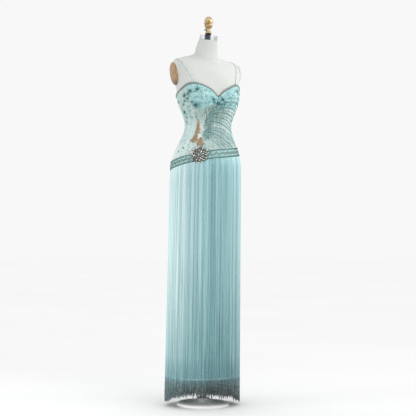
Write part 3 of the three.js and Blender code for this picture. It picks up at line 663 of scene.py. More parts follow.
# %% The tree that sews trims on points
trims_tree, given, result = new_tree("trims on points", {
    "Points": "NodeSocketGeometry", "Trim": "NodeSocketObject",
    "Scale": "NodeSocketFloat", "Finish": "NodeSocketMaterial"})
aligned = add(trims_tree, "FunctionNodeAlignRotationToVector", {
    "Vector": point_value(trims_tree, "facing", "FLOAT_VECTOR")}, axis="Z")
turn = add(trims_tree, "FunctionNodeAxisAngleToRotation", {
    "Axis": (0, 0, 1), "Angle": point_value(trims_tree, "twist")})
rotation = add(trims_tree, "FunctionNodeRotateRotation", {
    0: aligned.outputs[0], 1: turn.outputs[0]}, rotation_space="LOCAL")
scale = worked_out(trims_tree, "MULTIPLY", point_value(trims_tree, "size"), given.outputs["Scale"])
pattern = add(trims_tree, "GeometryNodeObjectInfo", {0: given.outputs["Trim"]},
              transform_space="ORIGINAL")
copies = add(trims_tree, "GeometryNodeInstanceOnPoints", {
    "Points": given.outputs["Points"], "Instance": pattern.outputs["Geometry"],
    "Rotation": rotation.outputs[0], "Scale": scale})
end_tree(trims_tree, given, result, copies.outputs[0])

# %% The tree that sweeps a cord along paths
cords_tree, given, result = new_tree("cords on paths", {
    "Paths": "NodeSocketGeometry", "Sides": "NodeSocketInt",
    "Radius": "NodeSocketFloat", "Finish": "NodeSocketMaterial"})
paths = add(cords_tree, "GeometryNodeMeshToCurve", {0: given.outputs["Paths"]})
section = add(cords_tree, "GeometryNodeCurvePrimitiveCircle", {
    "Resolution": given.outputs["Sides"], "Radius": given.outputs["Radius"]})
swept = add(cords_tree, "GeometryNodeCurveToMesh", {
    "Curve": paths.outputs[0], "Profile Curve": section.outputs[0],
    "Scale": point_value(cords_tree, "size"), "Fill Caps": True})
end_tree(cords_tree, given, result, swept.outputs[0])

# %% Running a tree on points
def carry(mesh, name, values, shape):
    """Lets each point of a mesh carry a number under a name."""
    spread = np.broadcast_to(np.asarray(values, np.float32), shape)
    mesh.attributes.new(name, "FLOAT", "POINT").data.foreach_set("value", spread.flatten())


def grown(name, source, tree, smooth=True, **inputs):
    """Runs a tree on a mesh and keeps the result as a plain mesh object."""
    holder = bpy.data.objects.new(name + "_guide", source)
    bpy.context.collection.objects.link(holder)
    modifier = holder.modifiers.new("grow", "NODES")
    modifier.node_group = tree
    sockets = socket_names(tree)
    for label, value in inputs.items():
        modifier[sockets[label]] = value
    graph = bpy.context.evaluated_depsgraph_get()
    mesh = bpy.data.meshes.new_from_object(holder.evaluated_get(graph))
    mesh.name = name
    holder.modifiers.remove(modifier)
    bpy.data.objects.remove(holder)
    for extra in ("facing", "twist", "size"):
        if extra in mesh.attributes:
            mesh.attributes.remove(mesh.attributes[extra])
    mesh.polygons.foreach_set("use_smooth", np.full(len(mesh.polygons), smooth))
    made = bpy.data.objects.new(name, mesh)
    bpy.context.collection.objects.link(made)
    return made


def trims(name, points, facing, sizes, twists, trim, finish, smooth=True):
    """A trim sewn on each point, its own Z along facing, at the size in mm."""
    mesh = bpy.data.meshes.new(name + "_points")
    mesh.vertices.add(len(points))
    mesh.vertices.foreach_set("co", (np.asarray(points) * MM).ravel())
    mesh.attributes.new("facing", "FLOAT_VECTOR", "POINT").data.foreach_set(
        "vector", np.asarray(facing).ravel())
    carry(mesh, "size", sizes, len(points))
    carry(mesh, "twist", twists, len(points))
    return grown(name, mesh, trims_tree, smooth, Trim=trim, Scale=MM, Finish=finish)


def cords(name, paths, radii, sides, finish, tone=None):
    """Round cords along paths, an array [path][point][xyz] in mm, with radii in mm."""
    count, length = paths.shape[:2]
    mesh = bpy.data.meshes.new(name + "_paths")
    mesh.vertices.add(count * length)
    mesh.vertices.foreach_set("co", (paths * MM).ravel())
    start = (np.arange(count)[:, None] * length + np.arange(length - 1)[None, :]).ravel()
    mesh.edges.add(len(start))
    mesh.edges.foreach_set("vertices", np.stack([start, start + 1], -1).astype(np.int32).ravel())
    carry(mesh, "size", radii, (count, length))
    if tone is not None:
        carry(mesh, "tone", tone, (count, length))
    return grown(name, mesh, cords_tree, Sides=sides, Radius=MM, Finish=finish)


print("trees can be run on arrays of points")

# %% [markdown]
# ## The dress form
# The form is what gives the gown its shape, so it is made first: a stack of ovals, close enough
# together to look smooth, under a cotton jersey cover with fine seams. It has no limbs: a chromed
# cap closes the neck, and two turned wooden plates close the armholes.

# %% Smooth skin of the form
FORM_COLUMNS, FORM_RING_MM = 128, 6.0


def closed_skin(name, grid, finish):
    """A closed body through rings of points, grid[column][row], with flat ends."""
    columns, rows = grid.shape[:2]
    ends = np.stack([grid[:, 0].mean(0), grid[:, -1].mean(0)])
    c = np.arange(columns)
    n = (c + 1) % columns
    low = np.stack([np.full(columns, columns * rows), n * rows, c * rows], -1)
    high = np.stack([np.full(columns, columns * rows + 1), c * rows + rows - 1,
                     n * rows + rows - 1], -1)
    points = np.concatenate([grid.reshape(-1, 3), ends])
    return piece(name, points, [grid_faces(columns, rows, 0, True), low, high], finish)


angles = np.linspace(-180, 180, FORM_COLUMNS, endpoint=False)[:, None]
heights = np.arange(BODY[0, 0], BODY[-1, 0] + 0.1, FORM_RING_MM)[None, :]
heights = np.append(heights, [[BODY[-1, 0]]], axis=1)
form_skin = closed_skin("form_skin", body_point(angles, heights, 0, FORM_SWELL), cotton_jersey)
dress_with(form_skin, "form_cloth", "form_body")
print("form skin faces:", len(form_skin.data.polygons))

# %% Seams of the cover
SEAM_POINTS, SEAM_RADIUS, SEAM_RAISED = 60, 0.35, 0.1
seam_lines = {  # from one angle and height to another
    "centre back": ((180, 1380), (180, 1676)),
    "right shoulder": ((-97, 1556), (-97, 1668)), "left shoulder": ((97, 1556), (97, 1668)),
    "right back": ((-142, 1400), (-128, 1590)), "left back": ((142, 1400), (128, 1590)),
    "neck, right": ((-180, 1603), (0, 1603)), "neck, left": ((180, 1603), (0, 1603)),
}
share = np.linspace(0, 1, SEAM_POINTS)
seam_paths = np.stack([
    body_point(a0 + (a1 - a0) * share, h0 + (h1 - h0) * share, SEAM_RAISED, FORM_SWELL)
    for (a0, h0), (a1, h1) in seam_lines.values()])
form_seams = cords("form_seams", seam_paths, SEAM_RADIUS, sides=5, finish=cotton_jersey)
dress_with(form_seams, "form_cloth")
print(len(seam_lines), "seams on the cover")

# %% [markdown]
# ### Turned pieces
# The cap, finial, plates, pole and base are all turned on a lathe, so each is a profile spun
# round an axis. Spinning it in numbers keeps the poles closed and the faces outward.

# %% Lathe
LATHE_SEGMENTS, LEAST_RADIUS = 64, 0.05


def turned(name, profile, finish, segments=LATHE_SEGMENTS, place=None):
    """A profile of (radius, height) rows, from bottom to top, spun round its height."""
    rows = np.array(profile, float)
    turn = np.radians(np.linspace(0, 360, segments, endpoint=False))[:, None]
    grid = np.stack([rows[:, 0] * np.cos(turn), rows[:, 0] * np.sin(turn),
                     np.broadcast_to(rows[:, 1], (segments, len(rows)))], -1)
    if place is not None:
        grid = place(grid)
    return closed_skin(name, grid, finish)


def rounded_profile(rows, count):
    """More rows between those of a profile, on smooth curves that never go below its foot."""
    table = np.array([(i, radius, height) for i, (radius, height) in enumerate(rows)], float)
    at = np.linspace(0, len(rows) - 1, count)
    height = np.maximum(curve(table, 2, at), rows[0][1])
    return np.stack([np.maximum(curve(table, 1, at), LEAST_RADIUS), height], -1)


print("lathe ready,", LATHE_SEGMENTS, "segments")

# %% Neck cap and collar
NECK_TOP, NECK_SLOPE = float(BODY[-1, 0]), float(BODY[-1, 4])
NECK_LEAN = math.atan(NECK_SLOPE)
CAP_TOP, COLLAR_RADIUS, FINIAL_BOTTOM = 20.5, 14.0, 1709.0
neck_centre = float((BODY[-1, 3] - BODY[-1, 2]) / 2)
cap_bottom = NECK_TOP + NECK_SLOPE * neck_centre + SEAM_GAP / math.cos(NECK_LEAN)
collar_low = cap_bottom + CAP_TOP / math.cos(NECK_LEAN) + SEAM_GAP


def on_neck(grid):
    """Tips a turned piece back as the top of the neck is tipped."""
    x, y, z = grid[..., 0], grid[..., 1], grid[..., 2]
    c, s = math.cos(NECK_LEAN), math.sin(NECK_LEAN)
    return np.stack([x, neck_centre + y * c - z * s, cap_bottom + y * s + z * c], -1)


def on_cap(grid):
    """Stands a collar 1 mm high on the tipped cap: its foot slopes, its top is level."""
    x, y = grid[..., 0], grid[..., 1]
    foot = collar_low + NECK_SLOPE * (y - neck_centre)
    return np.stack([x, y, np.where(grid[..., 2] > 0.5, FINIAL_BOTTOM - SEAM_GAP, foot)], -1)


cap_profile = [(CAP_RADIUS - 0.8, 0), (CAP_RADIUS, 0.8), (CAP_RADIUS, 17.6), (40.6, 19),
               (39, 20.3), (36, CAP_TOP), (0.5, CAP_TOP)]
neck_cap = turned("neck_cap", cap_profile, chrome_with_painted_reflections, place=on_neck)
dress_with(neck_cap, "chrome", "form_neck_cap")
collar = turned("finial_collar", [(COLLAR_RADIUS, 0), (COLLAR_RADIUS, 1)], black_iron,
                place=on_cap)
dress_with(collar, "dark_metal", "form_collar")
print("cap from", round(cap_bottom), "mm above the floor")

# %% Finial and its screw
FINIAL_HEIGHT, FINIAL_ROWS = 77.0, 110
SCREW_START, SCREW_HEIGHT = 12.8, 1724.0
finial_outline = [
    (14.2, 0), (14.8, 1.5), (14.2, 4), (11.6, 8), (10.2, 13), (10, 18), (11.6, 22.5), (15.2, 26.5),
    (18, 31.5), (18.8, 37.5), (18.2, 42), (18.6, 43.4), (21.2, 44.2), (21.4, 46.2), (19.6, 47.4),
    (19.4, 49), (19.3, 55), (18, 62.5), (14.6, 70), (9, 75), (3, 76.8), (0.2, FINIAL_HEIGHT)]
finial = turned("finial", rounded_profile(finial_outline, FINIAL_ROWS), gilded_metal,
                place=lambda grid: grid + [0, 0, FINIAL_BOTTOM])
dress_with(finial, "gilt", "form_finial")


def beside_finial(grid):
    """Lays a turned piece on its side, pointing to the wearer's right."""
    x, y, z = grid[..., 0], grid[..., 1], grid[..., 2]
    return np.stack([-SCREW_START - z, -y, SCREW_HEIGHT - x], -1)


knob_profile = [(3.2, 0), (3.2, 3), (4.5, 3.6), (4.5, 7), (3.4, 8), (0.3, 8)]
knob = turned("finial_screw", knob_profile, chrome_with_painted_reflections, segments=24, place=beside_finial)
dress_with(knob, "chrome", "form_finial_screw")
print("finial to", FINIAL_BOTTOM + FINIAL_HEIGHT, "mm above the floor")

# %% Arm plates
PLATE_HALF_HEIGHT, PLATE_HALF_DEPTH, PLATE_DOME = 52.0, 39.0, 13.0
PLATE_HEIGHT, PLATE_DEPTH, PLATE_GAP, SCREW_SUNK = 1516.5, 22.0, 0.6, 0.2
plate_profile = [(0.93, 0), (0.97, 0.04), (1, 0.2), (1, 0.42), (0.98, 0.56), (0.94, 0.66),
                 (0.88, 0.75), (0.75, 0.87), (0.55, 0.95), (0.3, 0.99), (0.02, 1)]
screw_profile = [(3.4, 0), (3.4, 0.8), (2.6, 1.6), (0.2, 1.9)]


def on_armhole(side, lift=0.0, wide=PLATE_HALF_HEIGHT, deep=PLATE_HALF_DEPTH, thick=PLATE_DOME):
    """Stands a turned piece on the leaning armhole, its top facing out."""
    lean = math.atan(ARMHOLE_SLOPE)
    turn = side * (math.pi / 2 + lean)
    reach = ARMHOLE_LOW_X + ARMHOLE_SLOPE * (PLATE_HEIGHT - ARMHOLE_LOW) + PLATE_GAP / math.cos(lean)
    up = np.array([math.cos(turn), 0, -math.sin(turn)])
    out = np.array([math.sin(turn), 0, math.cos(turn)])
    middle = np.array([side * reach, PLATE_DEPTH, PLATE_HEIGHT])
    return lambda g: (middle + g[..., :1] * wide * up + g[..., 1:2] * deep * np.array([0, 1, 0])
                      + (g[..., 2:] * thick + lift) * out)


for side, word in SIDES:
    plate = turned(f"arm_plate_wood_{word}", plate_profile, varnished_beech,
                   place=on_armhole(side))
    dress_with(plate, "wood", f"arm_plate_{word}")
    screw = turned(f"arm_plate_screw_{word}", screw_profile, gilded_metal, segments=24,
                   place=on_armhole(side, PLATE_DOME - SCREW_SUNK, 1, 1, 1))
    dress_with(screw, "gilt")
print("two arm plates")

# %% Padded edges of the armholes
EDGE_POINTS, EDGE_RADIUS, EDGE_SUNK, EDGE_INSET = 72, 5.0, 4.0, 3.4
EDGE_RISE, EDGE_SPREAD = 3.2, 6.4  # how much higher and wider it is at the front
turn = np.linspace(0, 2 * math.pi, EDGE_POINTS)
to_front = 0.5 - 0.5 * np.sin(turn)
ring = np.stack([np.cos(turn), np.sin(turn), np.zeros(EDGE_POINTS)], -1)
rings = []
wider = EDGE_SPREAD * to_front - EDGE_INSET
wide, deep = PLATE_HALF_HEIGHT + wider, PLATE_HALF_DEPTH + wider
for side, _ in SIDES:
    on_plane = on_armhole(side, 0.0, 1, 1, 1)
    rings.append(on_plane(np.stack([ring[:, 0] * wide, ring[:, 1] * deep,
                                    EDGE_RISE * to_front - EDGE_SUNK], -1)))
armhole_edges = cords("armhole_edges", np.array(rings), EDGE_RADIUS, sides=12, finish=cotton_jersey)
dress_with(armhole_edges, "form_cloth")
print("padded edges:", len(rings))

# %% Pole and base
POLE_RADIUS, BASE_RADIUS, BASE_TOP = 16.0, 118.0, 34.0
pole_profile = [(POLE_RADIUS - 0.6, BASE_TOP + SEAM_GAP), (POLE_RADIUS, BASE_TOP + 1),
                (POLE_RADIUS, FORM_BOTTOM - 1), (POLE_RADIUS - 0.6, FORM_BOTTOM - SEAM_GAP)]
pole = turned("pole", pole_profile, brushed_chrome, segments=48)
dress_with(pole, "chrome", "stand_pole")
base_profile = [(BASE_RADIUS - 1.5, 0), (BASE_RADIUS, 1.5), (BASE_RADIUS, 8),
                (BASE_RADIUS - 1.5, 10.5), (112, 13), (90, 15), (66, 17), (44, 20), (34, 25),
                (28.5, 31), (27, BASE_TOP), (0.5, BASE_TOP)]
base = turned("base", base_profile, white_enamel, segments=96)
dress_with(base, "white_enamel", "stand_base")
print("base", BASE_RADIUS * 2, "mm across")

# %% [markdown]
# ## The bodice
# Ten shaped pieces are sewn edge to edge: a centre front, two side fronts under the cups, two
# sides, two backs, two cups and a binding. Each is a thin closed wall that follows the form, so
# the seams meet in narrow gaps. The taut cloth has a few short drag lines where it is pulled in
# at the waist.

# %% Drag lines of the taut net
BODICE_RADIUS = 110.0  # a middle value, which turns an angle into a length
drag_lines = [  # angle, height, length and width in mm, depth in mm, slope
    (-72, 1262, 60, 5, 0.8, 0.25), (-84, 1246, 42, 4, 0.6, 0.1), (-66, 1292, 38, 5, 0.6, -0.2),
    (70, 1256, 52, 5, 0.7, 0.2), (86, 1284, 44, 4, 0.6, -0.12), (64, 1232, 34, 4, 0.5, 0.35),
    (140, 1270, 58, 6, 0.8, 0.15), (158, 1240, 40, 5, 0.7, -0.1), (-146, 1258, 54, 6, 0.8, -0.15),
    (-162, 1292, 36, 5, 0.6, 0.12), (12, 1218, 46, 5, 0.5, 0.15), (-12, 1268, 36, 4, 0.4, -0.2),
]


def drawn_net(angle, height, out=0.0):
    """The net's surface, with its drag lines raised."""
    raised = np.zeros(np.broadcast(angle, height).shape)
    for a, h, length, width, depth, slope in drag_lines:
        along = np.radians(wrapped(angle - a)) * BODICE_RADIUS
        across = height - h - slope * along
        raised = raised + depth * np.exp(-(2 * along / length) ** 2 - (across / width) ** 2)
    return body_point(angle, height, out + raised)


print(len(drag_lines), "drag lines")

# %% How densely the net is stitched over
STITCHED_ALL_OVER = 0.14
FRONT_MORE, FRONT_MIDDLE, FRONT_SPREAD = 0.58, -2, 38  # more round the front, in degrees
HIGH_MORE, HIGH_FROM, HIGH_OVER = 0.42, 1262, 60  # more above a height
FAN_LESS, FAN_START, FAN_END, FAN_FADE = 0.72, 8, 125, 30  # less under the fans, in degrees
FAN_LOW, FAN_TALL, FAN_LEAST = 1150, 140, 0.1  # and this share of it at their low end
LEAVES_LESS = 0.5  # less under the champagne leaves
LEAVES_ANGLE, LEAVES_WIDE, LEAVES_HEIGHT, LEAVES_TALL = -36, 11, 1245, 42


def stitching(angle, height):
    """How dense the stitching is, from 0 for open net to 1."""
    angle = wrapped(angle)
    front = FRONT_MORE * np.exp(-((angle - FRONT_MIDDLE) / FRONT_SPREAD) ** 2)
    high = HIGH_MORE * np.clip((height - HIGH_FROM) / HIGH_OVER, 0, 1)
    into_fan = np.minimum(angle - FAN_START, FAN_END - angle) / FAN_FADE
    up_fan = np.clip((height - FAN_LOW) / FAN_TALL, FAN_LEAST, 1)
    fan = FAN_LESS * np.clip(into_fan, 0, 1) * up_fan
    beside, above = (angle - LEAVES_ANGLE) / LEAVES_WIDE, (height - LEAVES_HEIGHT) / LEAVES_TALL
    leaves = LEAVES_LESS * np.exp(-beside**2 - above**2)
    return np.clip(STITCHED_ALL_OVER + front + high - fan - leaves, 0, 1)


print("stitching at the front's middle:", round(float(stitching(0, BUST_HEIGHT)), 2))

# %% A sewn panel
PANEL_STEP_MM, ROUND_THE_BODY = 4.0, 720.0
HALF_SEAM = math.degrees(SEAM_GAP / 2 / BODICE_RADIUS)


def sewn(name, node, start, end, low, high, finish, slot, inner=CLEAR_OF_FORM,
         thickness=NET_THICKNESS, surface=drawn_net, held="stretched", rests_on="form_skin",
         step=PANEL_STEP_MM):
    """A panel of cloth between two seams."""
    columns = max(4, round(abs(end - start) / 360 * ROUND_THE_BODY / step))
    angle = np.linspace(start + HALF_SEAM, end - HALF_SEAM, columns)
    bottom, top = low(angle), high(angle)
    levels = np.linspace(0, 1, max(3, round((top - bottom).max() / step)))
    height = bottom[:, None] + (top - bottom)[:, None] * levels
    outer = surface(angle[:, None], height, inner + thickness)
    points, faces, uv = cloth_wall(surface(angle[:, None], height, inner), outer)
    tone = np.tile(stitching(angle[:, None], height).ravel(), 2)
    made = dress_with(piece(name, points, faces, finish, uv, tone), slot, node)


print("half a seam is", round(HALF_SEAM, 3), "degrees")

# %% The edges of the panels, and the panels
CUP_STEP_MM = 3.0


def waist_seam(angle):
    return belt_low(angle) + BELT_HEIGHT / 2


def under_cup(angle):
    return cup_seam_height(angle) - SEAM_GAP


def under_binding(angle):
    return neckline_height(angle) - BINDING_HEIGHT - SEAM_GAP


def between(side, near, far):
    """A stretch of angles on the wearer's left, or the same stretch on the right."""
    return (near, far) if side > 0 else (-far, -near)


sewn("front_net", "bodice_front", -FRONT_SEAM, FRONT_SEAM, waist_seam, under_cup,
     stretch_net, "net")
for side, word in SIDES:
    sewn(f"side_front_net_{word}", f"bodice_side_front_{word}",
         *between(side, FRONT_SEAM, SIDE_FRONT_SEAM), waist_seam, under_cup, stretch_net, "net")
    sewn(f"side_net_{word}", f"bodice_side_{word}",
         *between(side, SIDE_FRONT_SEAM, SIDE_BACK_SEAM), waist_seam, under_binding,
         stretch_net, "net")
    sewn(f"back_net_{word}", f"bodice_back_{word}", *between(side, SIDE_BACK_SEAM, 180),
         waist_seam, under_binding, stretch_net, "net")
    sewn(f"cup_satin_{word}", f"cup_{word}", *between(side, 0, SIDE_FRONT_SEAM),
         cup_seam_height, under_binding, cup_satin, "cup", surface=body_point, step=CUP_STEP_MM)

# %% Binding round the top edge
BINDING_COLUMNS, BINDING_ROWS = 260, 4
angle = np.linspace(-180, 180, BINDING_COLUMNS, endpoint=False)
levels = np.linspace(0, 1, BINDING_ROWS)
height = neckline_height(angle)[:, None] - BINDING_HEIGHT * (1 - levels)
outer = body_point(angle[:, None], height, CLEAR_OF_FORM + BINDING_THICKNESS)
points, faces, uv = cloth_wall(body_point(angle[:, None], height, CLEAR_OF_FORM), outer, True)
binding = piece("neckline_tape", points, faces, taupe_braid, uv)
dress_with(binding, "beaded", "neckline_binding")
girth = float(run_along(outer[:, BINDING_ROWS // 2])[-1]) * MM

# %% [markdown]
# ### Strips laid on the net
# Boning channels, leaves and straps are all strips: a path on the surface, a width that may
# change along it and a slightly domed section. One helper sweeps them all.

# %% Strips that follow the surface
STRIP_SECTION = [(-1, 0), (-0.93, 0.75), (0, 1), (0.93, 0.75), (1, 0)]


def strips(name, paths, normals, half_widths, thickness, finish, slot, *nodes):
    """Domed strips along paths, arrays [path][point][xyz] in mm, closed at both ends."""
    count, length = paths.shape[:2]
    across = np.cross(np.gradient(paths, axis=1), normals)
    across /= np.linalg.norm(across, axis=-1, keepdims=True)
    width = np.broadcast_to(half_widths, (count, length))[..., None]
    grid = np.stack([paths + across * width * sideways + normals * thickness * up
                     for sideways, up in STRIP_SECTION], 1)
    columns = len(STRIP_SECTION)
    walls, caps_low, caps_high = [], [], []
    for i in range(count):
        start = i * columns * length
        walls.append(grid_faces(columns, length, start, True))
        ends = start + np.arange(columns) * length
        caps_low.append(ends[::-1])
        caps_high.append(ends + length - 1)
    made = piece(name, grid.reshape(-1, 3), [np.concatenate(walls), caps_low, caps_high], finish)
    return dress_with(made, slot, *nodes)


def laid(angle, height, out):
    """Points and facing directions of a path that lies on the form."""
    return body_point(angle, height, out), outward(angle, height)


print("a strip's section has", len(STRIP_SECTION), "points")

# %% Boning channels
CHANNEL_HALF_WIDTH, CHANNEL_THICKNESS, CHANNEL_POINTS = 2.3, 0.55, 40
CHANNEL_SUNK, UNDER_BELT = 0.1, 6.0
SHORT_CHANNEL = 1280  # one that ends above this height doesn't run down to the belt
channels = [  # angle and height at the top and at the bottom
    (29, 1438, 31, 1300), (60, 1398, 60, 1172), (20, 1356, 19, 1170), (4, 1372, 4, 1166),
    (86, 1430, 87, 1178), (112, 1412, 112, 1178), (133, 1400, 130, 1172), (157, 1394, 152, 1160),
    (177, 1390, 177, 1148),
]
paths, normals = [], []
t = np.linspace(0, 1, CHANNEL_POINTS)
for side, _ in SIDES:
    for a0, h0, a1, h1 in channels:  # the right ones run on to the belt, which is lower there
        bottom = float(belt_top(side * a1)) - UNDER_BELT
        if side > 0 or h1 > SHORT_CHANNEL:
            bottom = max(h1, bottom)
        path, normal = laid(side * (a0 + (a1 - a0) * t), h0 + (bottom - h0) * t,
                            ON_NET - CHANNEL_SUNK)
        paths.append(path)
        normals.append(normal)
strips("boning_channels", np.array(paths), np.array(normals), CHANNEL_HALF_WIDTH,
       CHANNEL_THICKNESS, net_channel, "strap")
print(len(paths), "boning channels")

# %% Shoulder straps
STRAP_HALF_WIDTH, STRAP_THICKNESS, STRAP_CLEAR, STRAP_STEPS = 2.5, 1.5, 1.5, 44
STRAP_FRONT_X, STRAP_SHOULDER_X, STRAP_BACK_X, STRAP_BACK_ANGLE = 103, 139, 92, 140
STRAP_SHOULDER_HEIGHT, LEAST_STEP = 1574, 0.5
CUP_PEAK = float(NECKLINE[:, 1].max())


def angle_at(x, height, behind):
    """The angle at which the form reaches a distance from the centre."""
    share = np.minimum(1, np.abs(x) / curve(BODY, 1, height)) ** (1 / SQUARE)
    found = np.degrees(np.arcsin(share)) * np.sign(x)
    return np.sign(x) * 180 - found if behind else found


front_foot = float(neckline_height(angle_at(STRAP_FRONT_X, CUP_PEAK, False))) + STRAP_CLEAR
back_foot = float(neckline_height(STRAP_BACK_ANGLE)) + STRAP_CLEAR
climb = 1 - np.linspace(1, 0, STRAP_STEPS) ** 2
for side, word in SIDES:
    legs = []
    for x0, h0, behind in ((STRAP_FRONT_X, front_foot, False), (STRAP_BACK_X, back_foot, True)):
        x = side * (x0 + (STRAP_SHOULDER_X - x0) * climb)
        height = h0 + (STRAP_SHOULDER_HEIGHT - h0) * climb
        legs.append((angle_at(x, height, behind), height))
    angle, height = (np.concatenate([up, down[::-1]]) for up, down in zip(*legs))
    steps = np.linalg.norm(np.diff(body_point(angle, height), axis=0), axis=-1)
    apart = np.concatenate([[True], steps > LEAST_STEP])
    angle, height = angle[apart], height[apart]
    normal = outward(angle, height)
    path = body_point(angle, height) + normal * CLEAR_OF_FORM
    strap = strips(f"strap_satin_{word}", path[None], normal[None], STRAP_HALF_WIDTH,
                   STRAP_THICKNESS, ribbon_satin, "strap", f"strap_{word}")

# %% [markdown]
# ## Belt, slip and fringe heading
# The belt is a stiff embroidered tape in two halves, joined at the sides. Under it hangs the slip,
# a plain satin tube that narrows to its hem, with a few soft upright folds. The fringe is sewn to
# a narrow heading tape that the belt covers.

# %% Belt halves
BELT_STEP_MM = 3.0
for word, start in HALVES:
    sewn(f"belt_tape_{word}", f"belt_{word}", start, start + 180, belt_low, belt_top,
         belt_ground, "beaded", inner=SECOND_LAYER, thickness=BELT_THICKNESS,
         surface=body_point, step=BELT_STEP_MM)

# %% Soft folds of the slip
SLIP_RADIUS = 105.0  # a middle value, which turns an angle into a length
folds = [  # angle, width in mm, depth in mm, height where it fades out, lean in degrees
    (-70, 15, 2.6, 900, 5), (-44, 11, 1.8, 640, -4), (-22, 17, 2.8, 980, 3), (6, 13, 2.0, 720, -5),
    (31, 18, 2.9, 930, 4), (57, 12, 1.9, 560, -3), (80, 15, 2.3, 840, 6), (108, 16, 2.7, 900, -4),
    (135, 12, 1.8, 660, 4), (163, 18, 2.9, 960, -3), (-168, 13, 2.1, 700, 5),
    (-140, 16, 2.6, 880, -5), (-112, 12, 1.9, 600, 3),
]


def folded_slip(angle, height, out=0.0):
    """The slip's surface, with its folds raised more and more towards the hem."""
    raised = np.zeros(np.broadcast(angle, height).shape)
    for a, width, depth, fade, lean in folds:
        fall = np.clip((fade - height) / fade, 0, 1)
        across = np.radians(wrapped(angle - a - lean * fall)) * SLIP_RADIUS
        raised = raised + depth * fall**0.7 * np.exp(-(across / width) ** 2)
    return slip_point(angle, height, out + raised)


print(len(folds), "folds")

# %% Slip and its rolled hem
SLIP_STEP_MM, HEM_POINTS = 7.0, 241
HEM_ROLL_RADIUS, HEM_ROLL_UP, HEM_ROLL_OUT = 2.8, 4.0, 0.3


def slip_low(angle):
    return np.full_like(angle, SLIP_HEM_HEIGHT)


def slip_high(angle):
    return waist_seam(angle) - 3 * SEAM_GAP


for word, start in HALVES:
    sewn(f"slip_satin_{word}", f"slip_{word}", start, start + 180, slip_low, slip_high,
         slip_satin, "slip", inner=0.0, surface=folded_slip, held="hung", step=SLIP_STEP_MM)
hem = folded_slip(np.linspace(-180, 180, HEM_POINTS), SLIP_HEM_HEIGHT + HEM_ROLL_UP,
                  NET_THICKNESS + HEM_ROLL_OUT)
slip_hem = cords("slip_hem", hem[None], HEM_ROLL_RADIUS, sides=6, finish=ribbon_satin)
dress_with(slip_hem, "slip")
print("hem", round(run_along(hem)[-1]), "mm round")

# %% Heading tapes of the fringe
HEADING_HEIGHT, HEADING_THICKNESS = 12.0, 1.0


def heading_high(angle):
    return belt_low(angle) - SEAM_GAP


def heading_low(angle):
    return heading_high(angle) - HEADING_HEIGHT


for word, start in HALVES:
    sewn(f"fringe_heading_{word}", f"fringe_{word}", start, start + 180, heading_low,
         heading_high, ribbon_satin, "fringe", inner=SECOND_LAYER, thickness=HEADING_THICKNESS,
         surface=hanging_point, held="hung", rests_on=f"belt_tape_{word}")

# %% [markdown]
# ## The fringe
# Hundreds of bead strings hang from the heading to just above the floor, in an outer layer and a
# thinner one under it. Strings cling together in locks, sway a little and end unevenly, so each
# one is drawn with its own drift from a fixed seed, and the cord tree sweeps them all at once. The
# slip shows through as far as its hem. Below that the locks part and only dark shows between them.

# %% Where the strings are
FRINGE_FLARE = 9.0  # how much further out they hang at the floor
TIP_MEAN, TIP_RISE, TIP_LEAST = 20.0, 44.0, 9.0  # the front is cut higher, to walk in
FRONT_OF_HEM = -26.0  # degrees: the middle of the part that is cut higher
STRING_LEVELS = np.array([0, 0.015, 0.04, 0.08, 0.14, 0.24, 0.38, 0.54, 0.7, 0.8, 0.86, 0.885,
                          0.905, 0.925, 0.94, 0.955, 0.97, 0.985, 1.0])
STRING_TAPER = np.array([1] * 11 + [1.05, 1.15, 1.25, 1.3, 1.3, 1.2, 0.95, 0.35])
FINE_STEPS = 721  # steps round half the hips for measuring them
LOCK_UNEVEN, LOCK_WANDER, LOCK_SHIFT = 0.4, 18, 0.8  # share; strings; degrees
RAGGED_WANDER, RAGGED_SLOW, RAGGED_LOCK = 22, 8, 12  # strings; mm along the hem; mm for a lock


def even_angles(start, end, count):
    """Angles the same distance apart round the hips."""
    fine = np.linspace(start, end, FINE_STEPS)
    run = run_along(hanging_point(fine, HIP_HEIGHT))
    return np.interp((np.arange(count) + 0.5) / count * run[-1], run, fine)


def wander(rng, count, spacing):
    """A value from -1 to 1 that wanders along a row of things, one for each of them."""
    knots = rng.uniform(-1, 1, int(count / spacing) + 3)
    return np.interp(np.arange(count) / spacing, np.arange(len(knots)), knots)


def in_locks(rng, angle, lock_size):
    """The lock that each string clings to, and the angle at which that lock gathers."""
    strings_in_lock = lock_size * (1 + LOCK_UNEVEN * wander(rng, len(angle), LOCK_WANDER))
    lock = np.floor(np.cumsum(1 / strings_in_lock)).astype(int)
    middle = np.array([angle[lock == k].mean() for k in range(lock.max() + 1)])
    return lock, middle + rng.uniform(-LOCK_SHIFT, LOCK_SHIFT, len(middle))


def ragged_tips(rng, angle, lock):
    """How high above the floor each string ends."""
    count, locks = len(angle), lock.max() + 1
    in_front = np.clip(np.cos(np.radians(angle - FRONT_OF_HEM)), 0, 1) ** 1.3
    ragged = RAGGED_SLOW * wander(rng, count, RAGGED_WANDER)
    ragged = ragged + RAGGED_LOCK * rng.uniform(-1, 1, locks)[lock]
    tip = TIP_MEAN + TIP_RISE * in_front + ragged * (0.4 + 0.9 * in_front)
    return np.maximum(tip + rng.uniform(-5, 9, count), TIP_LEAST)


print("strings end", TIP_LEAST, "mm or more above the floor")

# %% How the strings fall
GATHER_FROM, TWIST_FROM, TWIST_MM, TWIST_WAVE_MM = 330.0, 150.0, 2.6, 7.5
HEM_RADIUS = 130.0  # a middle value, which turns a length into an angle


